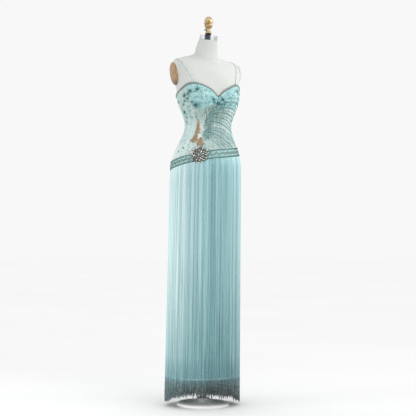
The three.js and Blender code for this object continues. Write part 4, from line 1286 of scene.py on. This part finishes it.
def fallen(rng, angle, height, lock, middle, gather, out):
    """The strings' paths: gathered in locks, swaying a little and twisted at their ends."""
    one_each = (len(angle), 1)
    fall = np.maximum(0, (HIP_HEIGHT - height) / HIP_HEIGHT)
    pull = gather * np.clip((GATHER_FROM - height) / GATHER_FROM, 0, 1) ** 1.4
    drift = rng.uniform(-0.9, 0.9, one_each) * fall
    wave, start_at = rng.uniform(120, 260, one_each), rng.uniform(0, 6.3, one_each)
    sway = 0.35 * fall * np.sin(height / wave + start_at)
    loose = np.clip((TWIST_FROM - height) / TWIST_FROM, 0, 1)
    twisted = np.sin(height / TWIST_WAVE_MM / rng.uniform(0.8, 1.5, one_each) + 5 * start_at)
    around = angle[:, None] + (middle[lock] - angle)[:, None] * pull + drift + sway
    around = around + np.degrees(TWIST_MM / HEM_RADIUS) * loose**0.6 * twisted
    proud = rng.uniform(-0.9, 1.6, one_each) * np.clip((height[:, :1] - height) / 60, 0, 1)
    proud = proud + 1.5 * loose * np.cos(height / TWIST_WAVE_MM + 3 * start_at)
    return hanging_point(around, height, out + FRINGE_FLARE * fall + proud)


def string_tones_with_side_light(rng, angle, lock, paler):
    """Each string's own tone, with painted light that makes it paler at the sides."""
    count, locks = len(angle), lock.max() + 1
    # Painted light: the sine term pales the strings at the sides; the rest is their own uneven tone
    tone = (paler + 0.5 * np.sin(np.radians(angle)) ** 2 + 0.14 * wander(rng, count, 12)
            + 0.16 * rng.uniform(-1, 1, locks)[lock] + rng.uniform(-0.2, 0.2, count))
    return np.clip(tone, 0, 1)[:, None]


print("locks begin to gather", GATHER_FROM, "mm above the floor")

# %% Two layers of strings, front and back
END_CLEAR, ROOT_SHIFT = 0.4, 0.3  # degrees


def fringe_layer(rng, name, start, count, lock_size, radius, out, drop, gather, paler, finish):
    """One layer of strings over half the hips, as a piece."""
    angle = even_angles(start + END_CLEAR, start + 180 - END_CLEAR, count)
    angle = angle + rng.uniform(-ROOT_SHIFT, ROOT_SHIFT, count)
    lock, middle = in_locks(rng, angle, lock_size)
    root = belt_low(angle) - SEAM_GAP - drop
    tip = ragged_tips(rng, angle, lock)
    height = root[:, None] - (root - tip)[:, None] * STRING_LEVELS
    paths = fallen(rng, angle, height, lock, middle, gather, out)
    tone = string_tones_with_side_light(rng, angle, lock, paler)
    strings = cords(name, paths, radius * STRING_TAPER, sides=4, finish=finish, tone=tone)
    print(f"{name}: {count} strings in {len(middle)} locks, {len(strings.data.polygons)} faces")
    return strings


for (word, start), seed, under_count in zip(HALVES, (11, 23), (290, 430)):
    rng = np.random.default_rng(seed)
    outer = fringe_layer(
        rng, f"fringe_strings_{word}", start, count=430, lock_size=7, radius=0.95,
        out=SECOND_LAYER + 2.2, drop=0.6, gather=0.72, paler=0.4, finish=outer_string)
    dress_with(outer, "fringe", f"fringe_{word}")
    under = fringe_layer(
        rng, f"fringe_under_{word}", start, count=under_count, lock_size=6, radius=0.8,
        out=SECOND_LAYER + 0.4, drop=HEADING_HEIGHT + 0.6, gather=0.3, paler=0.38,
        finish=under_string)
    dress_with(under, "fringe", f"fringe_{word}")

# %% [markdown]
# ## Beadwork
# Beads are sewn in rows. A row is a path on the cloth, cut into steps of one bead's width, with a
# bead on each step. The bead itself is a ball of twenty faces: at this size nothing finer shows.

# %% The bead and the row
BEAD_SUBDIVISIONS = 1  # the plain ball of twenty faces
BEAD_PITCH, BEAD_SEAT = 2.15, 0.6  # in radii: from bead to bead, and the middle's height


def template(name, build):
    """A small mesh of radius 1 that the trims tree copies, kept out of the scene."""
    mesh = bpy.data.meshes.new(name)
    build(mesh)
    return bpy.data.objects.new(name, mesh)


def build_bead(mesh):
    """A ball of flat faces."""
    form = bmesh.new()
    bmesh.ops.create_icosphere(form, subdivisions=BEAD_SUBDIVISIONS, radius=1)
    form.to_mesh(mesh)
    form.free()


round_bead = template("round bead", build_bead)
sewn_beads = {}


def sew(kind, points, normals, radius):
    """Keeps beads of one finish until all of them are set at once."""
    sewn_beads.setdefault(kind, []).append(
        (points, normals, np.broadcast_to(np.asarray(radius, float), len(points))))


def row(kind, angle, height, out, radius, pitch=None):
    """A row of beads along a path of angles and heights."""
    angle, height = matched(angle, height)
    run = run_along(body_point(angle, height, out))
    at = np.arange(0, run[-1], pitch or radius * BEAD_PITCH)
    a, h = np.interp(at, run, angle), np.interp(at, run, height)
    sew(kind, body_point(a, h, out + radius * BEAD_SEAT), outward(a, h), radius)


print("one bead has", len(round_bead.data.polygons), "faces")

# %% Neckline beads
PICOT_PITCH, PICOT_RAISED = 4.2, 0.2  # degrees, mm
round_angle = np.linspace(-180, 180, 721)
row("taupe pearl", round_angle, neckline_height(round_angle) - 1.2,
    CLEAR_OF_FORM + BINDING_THICKNESS, radius=1.7, pitch=3.6)
row("aqua glass", round_angle, neckline_height(round_angle) - 4.6, ON_NET, radius=1.3, pitch=3.4)
picot = [  # a bead's place in a picot: degrees aside, height over the edge, radius, finish
    (-1.3, 1.2, 1.15, "aqua glass"), (-0.8, 3.4, 1.25, "aqua glass"),
    (0, 4.8, 1.5, "dark teal glass"), (0.8, 3.4, 1.25, "aqua glass"),
    (1.3, 1.2, 1.15, "aqua glass")]
for aside, rise, radius, kind in picot:
    at = np.arange(-180, 180, PICOT_PITCH) + aside
    height = neckline_height(at) + rise
    sew(kind, body_point(at, height, CLEAR_OF_FORM + PICOT_RAISED), outward(at, height), radius)
print("picots:", len(at))

# %% Rows, zigzags and waves on the belt
EDGE_ROW, ZIGZAG_ROW, ZIGZAG_DEGREES, ZIGZAG_MM = 1.6, 5.8, 2.5, 2.3
ROSETTES, WAVE_MM = 34, 8
fine = np.linspace(-180, 180, 1441)
low_edge = belt_low(fine)
saw = ZIGZAG_MM * (2 * np.abs((fine / ZIGZAG_DEGREES) % 2 - 1) - 1)
for edge, zigzag in ((EDGE_ROW, ZIGZAG_ROW), (BELT_HEIGHT - EDGE_ROW, BELT_HEIGHT - ZIGZAG_ROW)):
    row("dark teal glass", fine, low_edge + edge, ON_BELT, radius=1.7, pitch=3.5)
    row("dark teal glass", fine, low_edge + zigzag + saw, ON_BELT, radius=1.15, pitch=2.8)
wave = WAVE_MM * np.sin(np.radians(fine) * ROSETTES)
row("pale aqua thread", fine, waist_seam(fine) + wave, ON_BELT, radius=1.2, pitch=2.6)
row("smoky glass", fine, waist_seam(fine) - wave, ON_BELT, radius=1.2, pitch=2.7)
print("zigzags:", round(360 / ZIGZAG_DEGREES / 2), "along each edge")

# %% Eyes between the waves
EYE_RAISED, EYE_REACH, EYE_RING = 0.9, 3.4, 6
eyes = (np.arange(2 * ROSETTES) + 0.5) * 180 / ROSETTES - 180
girth = np.hypot(*body_point(eyes, waist_seam(eyes))[..., :2].T)
for k in range(EYE_RING + 1):
    in_middle = k == EYE_RING
    reach, turn = 0 if in_middle else EYE_REACH, 2 * math.pi * k / EYE_RING
    a = eyes + np.degrees(reach * math.cos(turn) / girth)
    h = waist_seam(a) + reach * math.sin(turn)
    sew("aqua glass" if in_middle else "smoky glass", body_point(a, h, ON_BELT + EYE_RAISED),
        outward(a, h), 1.5 if in_middle else 1.35)
print(len(eyes), "eyes on the belt")

# %% [markdown]
# ### Fans of beads
# On the wearer's left front, rows of beads spring from a dense spine near the centre and arch to
# the side seam, an upper fan at the ribs and a lower one at the waist. Each fan is a family of
# curves between a first and a last row, so a handful of numbers draws them all.

# %% Two fans
FAN_POINTS, THREAD_DROP = 70, 4.0
fans = [  # where all the rows spring from; crest and end of the first and of the last row; rows
    ((-23, 1288), ((9, 1388), (76, 1366)), ((2, 1297), (70, 1236)), 9),
    ((-27, 1244), ((9, 1272), (74, 1194)), ((-10, 1220), (8, 1176)), 8),
]
row_finishes = ["dark teal glass", "aqua glass", "smoky glass", "aqua glass"]


def arch(start, crest, end):
    """A smooth curve from start to end that passes near the crest."""
    t = np.linspace(0, 1, FAN_POINTS)[:, None]
    first, middle, last = (np.array(p, float) for p in (start, crest, end))
    control = middle + (middle - (first + last) / 2) * 0.8
    both = (1 - t) ** 2 * first + 2 * t * (1 - t) * control + t**2 * last
    return both[:, 0], both[:, 1]


for spring, (crest, end), (last_crest, last_end), count in fans:
    for k in range(count):
        s = k / (count - 1)
        a, h = arch(spring, np.array(crest) * (1 - s) + np.array(last_crest) * s,
                    np.array(end) * (1 - s) + np.array(last_end) * s)
        kind, pitch = row_finishes[k % len(row_finishes)], 3.1 if k % 3 else 4.4
        bead_row, thread = h > belt_top(a) + 1, h - THREAD_DROP > belt_top(a) + 1
        row(kind, a[bead_row], h[bead_row], ON_NET, radius=1.5, pitch=pitch)
        row("pale aqua thread", a[thread], h[thread] - THREAD_DROP, ON_NET, radius=1.0, pitch=2.3)
print("fan rows:", sum(count for *_, count in fans))

# %% Dense spine where the fans begin
SPINE_BEADS = 1500
SPINE_MIDDLE, SPINE_ACROSS, SPINE_UP = 1.5, 5.4, 8.0  # degrees aside; spread in degrees and mm
SPINE_BEAD, SPINE_RAISED = 1.3, 0.6
SPINE = np.array([  # a number along the spine, angle, height
    (0, 6, 1374), (1, -4, 1346), (2, -14, 1316), (3, -21, 1288), (4, -19, 1262), (5, -24, 1244),
    (6, -22, 1222)], float)
rng = np.random.default_rng(5)
t = rng.uniform(SPINE[0, 0], SPINE[-1, 0], SPINE_BEADS)
a = curve(SPINE, 1, t) + rng.normal(SPINE_MIDDLE, SPINE_ACROSS, SPINE_BEADS)
h = curve(SPINE, 2, t) + rng.normal(0, SPINE_UP, SPINE_BEADS)
spine_kinds = ("smoky glass", "aqua glass", "dark teal glass", "smoky glass", "aqua glass")
for k, kind in enumerate(spine_kinds):
    pick = np.arange(SPINE_BEADS) % len(spine_kinds) == k
    sew(kind, body_point(a[pick], h[pick], ON_NET + SPINE_RAISED), outward(a[pick], h[pick]),
        SPINE_BEAD)
print("spine beads:", SPINE_BEADS)

# %% Fine beads strewn between the cups and over the fans
strewn = [  # middle angle and height; spread in degrees and in mm; beads; radius in mm; finish
    (-8, 1334, 14, 26, 420, 0.95, "smoky glass"), (-10, 1330, 17, 30, 520, 0.9, "aqua glass"),
    (-8, 1336, 15, 26, 300, 0.95, "taupe pearl"), (42, 1290, 24, 56, 900, 0.9, "ivory thread"),
    (40, 1290, 24, 58, 900, 0.9, "pale aqua thread"), (38, 1290, 22, 56, 160, 0.95, "smoky glass"),
    (12, 1200, 13, 16, 260, 0.9, "smoky glass"), (26, 1216, 18, 22, 260, 0.9, "aqua glass"),
]
CLEAR_UNDER_CUP, CLEAR_OVER_BELT, STREWN_RAISED = 4, 3, 0.5
rng = np.random.default_rng(17)
for middle_angle, middle_height, across, up, count, radius, kind in strewn:
    a, h = rng.normal(middle_angle, across, count), rng.normal(middle_height, up, count)
    on_net = (h < cup_seam_height(a) - CLEAR_UNDER_CUP) & (h > belt_top(a) + CLEAR_OVER_BELT)
    a, h = a[on_net], h[on_net]
    sew(kind, body_point(a, h, ON_NET + STREWN_RAISED), outward(a, h), radius)
    print(len(a), "fine beads of", kind)

# %% Side and back rows
BACK_FAN_ROWS, ROW_POINTS = 5, 80
for side, _ in SIDES:
    height = np.linspace(1392, 1190, ROW_POINTS)
    for middle, shift, kind, pitch in ((88, 0, "dark teal glass", 5.5), (93, 2, "aqua glass", 6.5)):
        waving = side * (middle + 2 * np.sin(height / 14 + shift))
        row(kind, waving, height, ON_NET, radius=1.1, pitch=pitch)
for k in range(BACK_FAN_ROWS):
    a, h = arch((182 - 3 * k, 1362 - 30 * k), (156, 1372 - 31 * k), (122, 1336 - 28 * k))
    kind = row_finishes[k % len(row_finishes)]
    row(kind, a, h, ON_NET, radius=1.1, pitch=3.2)
    row(kind, -a, h - 6, ON_NET, radius=1.1, pitch=3.4)
print("kinds of bead:", ", ".join(sewn_beads))

# %% [markdown]
# ## Flowers, leaves and scrolls
# Five-petalled flowers of dark glass sit on the cups and wander down the sides. Tapered leaves of
# champagne thread climb from the brooch. Tonal scrolls of thread fill the ground between them.
# They are a plain pattern of my own, in the tones and sizes that such a gown has.

# %% Flowers of dark glass
PETALS, FLOWER_TWIST, FLOWER_RAISED = 5, 1.7, 0.2  # radians from one to the next; mm
FLOWER_EYE, FLOWER_EYE_RAISED = 0.24, 1.6  # in radii of the flower; mm


def build_flower(mesh):
    """Five cupped petals of six faces each, as wide together as a disc of radius 1."""
    points, faces = [], []
    for k in range(PETALS):
        turn = 2 * math.pi * k / PETALS
        start = len(points)
        outline = [(0.12, -0.1), (0.55, -0.34), (0.98, -0.2), (1.0, 0.16), (0.6, 0.34), (0.14, 0.1)]
        ring = [(x, y, 0.05) for x, y in outline]
        for x, y, z in [*ring, (0.58, 0, 0.34)]:
            points.append((x * math.cos(turn) - y * math.sin(turn),
                           x * math.sin(turn) + y * math.cos(turn), z))
        low = start + 6
        faces += [(start + i, start + (i + 1) % 6, low) for i in range(6)]
        faces.append(tuple(start + i for i in reversed(range(6))))
    mesh.from_pydata(points, [], faces)


glass_flower = template("glass flower", build_flower)
flowers = [  # angle, height, radius in mm
    (-40, 1440, 9), (-55, 1431, 9), (-60, 1420, 6.5), (-70, 1412, 9), (-46, 1368, 12),
    (-54, 1382, 5.5), (-74, 1388, 5.5), (-86, 1340, 8), (-88, 1296, 5.5), (42, 1439, 9.5),
    (0, 1378, 12), (-9, 1396, 8), (7, 1398, 9.5), (12, 1388, 6), (-3, 1360, 6),
    (-7, 1384, 6.5), (5, 1370, 8), (11, 1376, 6), (-64, 1398, 6), (-79, 1372, 5), (-84, 1318, 5),
    (58, 1430, 6.5), (72, 1408, 7), (88, 1344, 6), (90, 1288, 4.5), (104, 1388, 6),
    (-104, 1386, 6.5), (-122, 1370, 7.5), (-138, 1382, 5.5), (-158, 1372, 7), (124, 1372, 7),
    (141, 1384, 5.5), (160, 1370, 7.5), (172, 1352, 5), (-174, 1350, 5.5), (-118, 1300, 5),
    (120, 1296, 5.5), (-72, 1176, 4), (-84, 1160, 4),
]
data = np.array(flowers, float)
normals = outward(data[:, 0], data[:, 1])
petals = trims("glass_flowers", body_point(data[:, 0], data[:, 1], ON_NET + FLOWER_RAISED),
               normals, data[:, 2], np.arange(len(data)) * FLOWER_TWIST, glass_flower,
               trim_finishes["dark teal glass"], smooth=False)
dress_with(petals, "beaded")
sew("smoky glass", body_point(data[:, 0], data[:, 1], ON_NET + FLOWER_EYE_RAISED), normals,
    data[:, 2] * FLOWER_EYE)
print(len(flowers), "flowers")

# %% Sprigs of small leaves beside the flowers
LEAF_TURNS, LEAF_REACH, LEAF_RAISED = (0, 1.1, 3.4), 1.9, 0.1  # radians; flower's radii; mm


def build_sprig_leaf(mesh):
    """A pointed leaf of radius 1 that starts at its own middle, with a raised vein."""
    outline = [(0.1, 0), (0.45, -0.2), (0.75, -0.16), (1, 0), (0.75, 0.16), (0.45, 0.2)]
    points = [(x, y, 0.03) for x, y in outline] + [(0.55, 0, 0.14)]
    faces = [(i, (i + 1) % 6, 6) for i in range(6)] + [tuple(reversed(range(6)))]
    mesh.from_pydata(points, [], faces)


sprig_leaf = template("sprig leaf", build_sprig_leaf)
beside = np.repeat(data, len(LEAF_TURNS), axis=0)
rng = np.random.default_rng(41)
twists = rng.uniform(0, 2 * math.pi, len(data))[:, None] + np.array(LEAF_TURNS)
sprigs = trims("sprig_leaves", body_point(beside[:, 0], beside[:, 1], ON_NET + LEAF_RAISED),
               outward(beside[:, 0], beside[:, 1]), beside[:, 2] * LEAF_REACH, twists.ravel(),
               sprig_leaf, trim_finishes["teal thread"], smooth=False)
dress_with(sprigs, "beaded")
print(len(beside), "sprig leaves")

# %% Loops of beads round the largest flowers
LOOP_PETALS, LOOP_REACH, LOOP_SWELL, LOOPED_FROM = 6, 1.28, 0.22, 8


def offset(angle, height, sideways, up):
    """An angle and height moved by millimetres on the surface."""
    point = body_point(angle, height)
    girth = np.hypot(point[..., 0], point[..., 1])
    return angle + np.degrees(sideways / girth), height + up


turn = np.linspace(0, 2 * math.pi, 140)
looped = [flower for flower in flowers if flower[2] >= LOOPED_FROM]
for angle, height, radius in looped:
    reach = radius * (LOOP_REACH + LOOP_SWELL * np.abs(np.sin(turn * LOOP_PETALS / 2)))
    a, h = offset(angle, height, reach * np.cos(turn), reach * np.sin(turn))
    row("aqua glass", a, h, ON_NET, radius=0.95)
print("looped flowers:", len(looped))

# %% Champagne and ivory leaves
LEAF_POINTS, LEAF_WIDTH, LEAF_THICKNESS, TIER_LIFT = 14, 6.4, 1.2, 0.22
VEIN_RADIUS, VEIN_PITCH, VEIN_RAISED = 0.75, 3.4, 1.0
champagne_tiers = [  # angle and height of the point, height of the foot, half spread, leaves
    (-46, 1296, 1268, 4, 3), (-46, 1282, 1252, 6, 5), (-46, 1266, 1236, 7.5, 6),
    (-48, 1244, 1216, 7, 6), (-49, 1228, 1196, 11, 9), (-34, 1226, 1200, 6.5, 6),
    (-33, 1212, 1182, 10, 9),
]
champagne_spikes = [(-44, 1306, -46, 1270), (-50, 1330, -47, 1288)]  # angle, height at both ends
ivory_tiers = [(-37, 1272, 1238, 5, 4), (-41, 1224, 1200, 3.5, 3)]
ivory_spikes = [(-24, 1332, -31, 1292), (-28, 1316, -34, 1276), (-20, 1300, -27, 1262)]
leaf_profile = np.sin(np.linspace(0.02, 1, LEAF_POINTS) ** 0.75 * math.pi) * 0.5 + 0.06
along_leaf = np.linspace(0, 1, LEAF_POINTS)


def leaves(name, tiers, spikes, finish):
    """Fans of tapered leaves that hang from a point, and single ones from end to end."""
    laid_leaves, widths = [], []
    for tier, (angle, top, foot, spread, count) in enumerate(tiers):
        out = ON_NET + TIER_LIFT * (len(tiers) - tier)
        for k in range(count):
            across = angle + (2 * k / (count - 1) - 1) * spread * along_leaf**1.25
            shorter = 1 - 0.09 * abs(k - (count - 1) / 2)
            down = top - (top - foot) * shorter * along_leaf
            laid_leaves.append(laid(across, down, out))
            widths.append(leaf_profile * LEAF_WIDTH)
            row("taupe pearl", across[3:-2], down[3:-2], out + VEIN_RAISED, VEIN_RADIUS,
                VEIN_PITCH)
    for a0, h0, a1, h1 in spikes:
        laid_leaves.append(laid(a0 + (a1 - a0) * along_leaf, h0 + (h1 - h0) * along_leaf, ON_NET))
        widths.append(leaf_profile * LEAF_WIDTH / 2)
    paths, normals = (np.array(part) for part in zip(*laid_leaves))
    strips(name, paths, normals, np.array(widths), LEAF_THICKNESS, finish, "beaded")
    print(len(paths), "leaves in", name)


leaves("champagne_leaves", champagne_tiers, champagne_spikes, trim_finishes["champagne thread"])
leaves("ivory_leaves", ivory_tiers, ivory_spikes, trim_finishes["ivory thread"])

# %% Scrolls of thread
SCROLL_POINTS, SCROLL_TURNS, SCROLL_RADIUS, SCROLL_RAISED = 30, 1.35, 0.75, 0.25
CLEAR_OF_BINDING, CLEAR_OF_BELT = 1.5, 2.0
scroll_fields = [  # angles from, to; heights from, to; columns, rows; size in mm; finish
    (8, 58, 1384, 1448, 7, 3, 9.5, "pale aqua thread"),
    (12, 60, 1372, 1440, 6, 3, 7.0, "teal thread"),
    (66, 108, 1190, 1400, 4, 8, 9.0, "pale aqua thread"),
    (116, 176, 1180, 1380, 6, 8, 9.0, "pale aqua thread"),
    (120, 172, 1200, 1370, 4, 5, 7.0, "teal thread"),
    (46, 86, 1300, 1400, 4, 4, 7.5, "teal thread"),
]


def scroll(rng, side, angle, height, size):
    """A spiral of thread round a place, turning either way."""
    t = np.linspace(0, 1, SCROLL_POINTS)
    turn = rng.uniform(0, 6.3) + side * rng.choice([-1, 1]) * t * SCROLL_TURNS * 6.28
    reach = size * rng.uniform(0.75, 1.2) * (1 - 0.8 * t)
    a, h = offset(angle, height, reach * np.cos(turn), reach * np.sin(turn))
    h = np.minimum(h, neckline_height(a) - BINDING_HEIGHT - CLEAR_OF_BINDING)
    return body_point(a, np.maximum(h, belt_top(a) + CLEAR_OF_BELT), ON_NET + SCROLL_RAISED)


rng = np.random.default_rng(8)
scrolls = {"pale aqua thread": [], "teal thread": []}
for side, _ in SIDES:
    for a0, a1, h0, h1, across, up, size, kind in scroll_fields:
        for i in range(across):
            for j in range(up):
                a = side * (a0 + (a1 - a0) * (i + rng.uniform(0.2, 0.8)) / across)
                h = h0 + (h1 - h0) * (j + rng.uniform(0.2, 0.8)) / up
                scrolls[kind].append(scroll(rng, side, a, h, size))
for kind, paths in scrolls.items():
    made = cords("scrolls_" + kind.split()[0], np.array(paths), SCROLL_RADIUS, sides=5,
                 finish=trim_finishes[kind])
    dress_with(made, "cup")
    print(len(paths), "scrolls of", kind)

# %% Small beads scattered on the lower right front
scattered = [(-60, 1190), (-54, 1178), (-66, 1168), (-49, 1190), (-57, 1164), (-70, 1196),
             (-44, 1178), (-76, 1180), (-63, 1214), (-52, 1206)]
SINGLE_BEAD, SINGLE_RAISED = 1.6, 0.8
a, h = np.array(scattered, float).T
sew("dark teal glass", body_point(a, h, ON_NET + SINGLE_RAISED), outward(a, h), SINGLE_BEAD)
print(len(scattered), "single beads")

# %% [markdown]
# ## The brooch
# A stamped metal plate with petals carries a cluster of foiled stones: a large one in the middle,
# three rings of smaller ones with rings of copper beads between, and a round drop below.

# %% Brooch plate
BROOCH_ANGLE, BROOCH_HEIGHT, BROOCH_ACROSS, BROOCH_TALL = -31, 1144, 33.0, 38.0
BROOCH_PETALS, BROOCH_NOTCH, BROOCH_POINTS = 8, 0.13, 128
BROOCH_INNER = ON_BELT + LAYER_GAP
brooch_girth = float(np.hypot(*body_point(BROOCH_ANGLE, BROOCH_HEIGHT)[:2]))


def on_brooch(sideways, up, out):
    """A point over the brooch's middle, moved by millimetres, on the curve of the hip."""
    angle = BROOCH_ANGLE + np.degrees(np.asarray(sideways, float) / brooch_girth)
    return body_point(angle, BROOCH_HEIGHT + np.asarray(up, float), BROOCH_INNER + out)


plate_rows = [  # share of the outline, height over the belt
    (0.02, 0), (0.5, 0), (0.97, 0), (1, 0.6), (1, 1.8), (0.95, 2.6), (0.84, 2.2), (0.7, 2.6),
    (0.5, 3.2), (0.25, 3.6), (0.02, 3.7)]
turn = np.radians(np.linspace(0, 360, BROOCH_POINTS, endpoint=False))[:, None]
share, lift = np.array(plate_rows, float).T[:, None, :]
petal = 1 - BROOCH_NOTCH * (1 - np.cos(turn * BROOCH_PETALS)) * share
grid = on_brooch(BROOCH_ACROSS * share * petal * np.cos(turn),
                 BROOCH_TALL * share * petal * np.sin(turn), lift)
aged_metal, tree, shader = new_finish("aged silver plate", Metallic=0.9, Roughness=0.38)
patchy(tree, shader, "#2c2e2e", "#6f726e", size_mm=5)
brooch_plate = closed_skin("brooch_plate", grid, aged_metal)
dress_with(brooch_plate, "crystal", "brooch")
print("brooch plate faces:", len(brooch_plate.data.polygons))

# %% Stones
STONE_RISE, BEAD_RISE, TALLER = 3.6, 3.2, 1.14  # mm over the belt; the rings are taller than wide
centre_stones = [(0, 0, 8), (0, -35.5, 6)]  # sideways, up, radius
stone_rings = [  # radius of the ring, stones in it, their radius, and where it starts
    (12.8, 8, 3.9, 0.39), (20.4, 12, 3.9, 0.13), (27.6, 16, 3.0, 0.0)]
bead_rings = [(16.6, 12), (24.2, 16), (31.8, 16)]  # radius of the ring, and beads in it
BEADS_START, COPPER_BEAD, STONE_TWIST = 0.39, 1.5, 0.9  # radians, mm, radians


def build_stone(mesh):
    """A cut stone of radius 1: a flat table, eight sloping facets and a straight girdle."""
    points = [(0.55 * math.cos(a), 0.55 * math.sin(a), 0.5)
              for a in np.radians(np.arange(0, 360, 45))]
    points += [(math.cos(a), math.sin(a), 0.12) for a in np.radians(np.arange(22.5, 382, 45))]
    points += [(math.cos(a), math.sin(a), -0.3) for a in np.radians(np.arange(22.5, 382, 45))]
    faces = [tuple(range(8)), tuple(reversed(range(16, 24)))]
    for i in range(8):
        n = (i + 1) % 8
        faces += [(i, 8 + i, n), (n, 8 + i, 8 + n), (8 + i, 16 + i, 16 + n, 8 + n)]
    mesh.from_pydata(points, [], faces)


cut_stone = template("cut stone", build_stone)
stones = list(centre_stones)
for reach, count, radius, start in stone_rings:
    for k in range(count):
        t = start + 2 * math.pi * k / count
        stones.append((reach * math.cos(t), TALLER * reach * math.sin(t), radius))
data = np.array(stones)
face_out = outward(BROOCH_ANGLE, BROOCH_HEIGHT)
cluster = trims("brooch_stones", on_brooch(data[:, 0], data[:, 1], STONE_RISE),
                np.tile(face_out, (len(data), 1)), data[:, 2], np.arange(len(data)) * STONE_TWIST,
                cut_stone, foiled_crystal, smooth=False)
dress_with(cluster, "crystal")
for reach, count in bead_rings:
    t = np.linspace(0, 2 * math.pi, count, endpoint=False) + BEADS_START
    middle = on_brooch(reach * np.cos(t), TALLER * reach * np.sin(t), BEAD_RISE)
    sew("copper bead", middle, np.broadcast_to(face_out, middle.shape), COPPER_BEAD)
print(len(stones), "stones")

# %% Beads scattered round the brooch
STRAY_BEADS, STRAY_FROM, STRAY_OVER, STRAY_TALLER = 110, 34, 16, 1.1  # mm from the middle
STRAY_KINDS = ("copper bead", "smoky glass", "dark teal glass")
rng = np.random.default_rng(31)
turn = rng.uniform(0, 2 * math.pi, STRAY_BEADS)
reach = STRAY_FROM + STRAY_OVER * rng.uniform(0, 1, STRAY_BEADS) ** 1.6
a = BROOCH_ANGLE + np.degrees(reach * np.cos(turn) / brooch_girth)
h = BROOCH_HEIGHT + STRAY_TALLER * reach * np.sin(turn)
on_cloth = h > belt_low(a) + 3
a, h = a[on_cloth], h[on_cloth]
out = np.where(h < belt_top(a), ON_BELT, ON_NET) + SINGLE_RAISED
for k, kind in enumerate(STRAY_KINDS):
    pick = np.arange(len(a)) % len(STRAY_KINDS) == k
    sew(kind, body_point(a[pick], h[pick], out[pick]), outward(a[pick], h[pick]), SINGLE_BEAD)
print("stray beads:", len(a))

# %% Setting all the beads
for kind, groups in sewn_beads.items():
    points, normals, sizes = (np.concatenate(part) for part in zip(*groups))
    beads = trims("beads_" + kind.replace(" ", "_"), points, normals, sizes, 0.0, round_bead,
                  trim_finishes[kind])
    dress_with(beads, "beaded")
    print(len(points), "beads of", kind)

# %% [markdown]
# ## Light, floor and camera
# A soft spot low on the left lights that edge of the skirt, a second one high on the right lights
# the chest, and a large weak softbox in front fills the rest, so the fringe darkens towards the
# right. The floor is plain white paper, as bright as the room, so that no horizon shows.

# %% Floor
FLOOR_HALF, FLOOR_SUNK = 14.0, 0.0005
floor_mesh = bpy.data.meshes.new("floor")
corners = [(x * FLOOR_HALF, y * FLOOR_HALF, 0) for x, y in ((-1, -1), (1, -1), (1, 1), (-1, 1))]
floor_mesh.from_pydata(corners, [], [(0, 1, 2, 3)])
studio_paper, tree, shader = new_finish("studio paper", Roughness=0.95)
patchy(tree, shader, "#fdfdfd", "#ffffff", size_mm=900)
floor_mesh.materials.append(studio_paper)
floor = bpy.data.objects.new("floor", floor_mesh)
bpy.context.collection.objects.link(floor)
floor.location.z = -FLOOR_SUNK
print("floor", FLOOR_HALF * 2, "m across")

# %% Lights
world = bpy.data.worlds.new("studio")
bpy.context.scene.world = world
world.use_nodes = True
room = world.node_tree.nodes["Background"]
room.inputs["Color"].default_value = linear("#f8f8f8")
room.inputs["Strength"].default_value = 1.0
bpy.context.scene.view_settings.view_transform = "Standard"
lights = {  # azimuth from the front, elevation, distance, size and aim in m, cone, watts
    "left spot": (-92, 4, 4.6, 0.5, 0.35, 31, 265),
    "right spot": (56, 24, 3.4, 0.5, 1.18, 25, 190),
    "front softbox": (16, 44, 4.2, 2.6, 0.75, None, 14),
}
for name, (azimuth, elevation, distance, width, aim_height, cone, watts) in lights.items():
    lamp = bpy.data.lights.new(name, "SPOT" if cone else "AREA")
    lamp.energy = watts
    if cone:
        lamp.shadow_soft_size = width
        lamp.spot_size = math.radians(cone)
        lamp.spot_blend = 1.0
    else:
        lamp.size = width
    a, e = math.radians(azimuth), math.radians(elevation)
    aim = Vector((math.sin(a) * math.cos(e), -math.cos(a) * math.cos(e), math.sin(e)))
    holder = bpy.data.objects.new(name, lamp)
    holder.location = Vector((0, 0, aim_height)) + aim * distance
    holder.rotation_euler = aim.to_track_quat("Z", "Y").to_euler()
    bpy.context.collection.objects.link(holder)
print(len(lights), "lights")

# %% Camera
CAMERA_AZIMUTH, CAMERA_DISTANCE, CAMERA_HEIGHT, CAMERA_ROLL = -27.0, 5.5, 0.906, 0.85
VIEW_WIDTH, SENSOR_MM, CAMERA_SIDE = 1.914, 36.0, 0.0104
a = math.radians(CAMERA_AZIMUTH)
back = Vector((math.sin(a), -math.cos(a), 0))
right = Vector((math.cos(a), math.sin(a), 0))
lens = bpy.data.cameras.new("camera")
lens.sensor_width = SENSOR_MM
lens.lens = SENSOR_MM * CAMERA_DISTANCE / VIEW_WIDTH
camera = bpy.data.objects.new("camera", lens)
camera.location = back * CAMERA_DISTANCE + right * CAMERA_SIDE + Vector((0, 0, CAMERA_HEIGHT))
upright = back.to_track_quat("Z", "Y").to_matrix()
camera.rotation_euler = (upright.to_4x4() @ Matrix.Rotation(
    math.radians(CAMERA_ROLL), 4, "Z")).to_euler()
bpy.context.collection.objects.link(camera)
bpy.context.scene.camera = camera
print("lens", round(lens.lens, 1), "mm")

# %% Sizes, and the end
print("pieces:", len(shown_pieces), "faces:", sum(shown_pieces.values()))
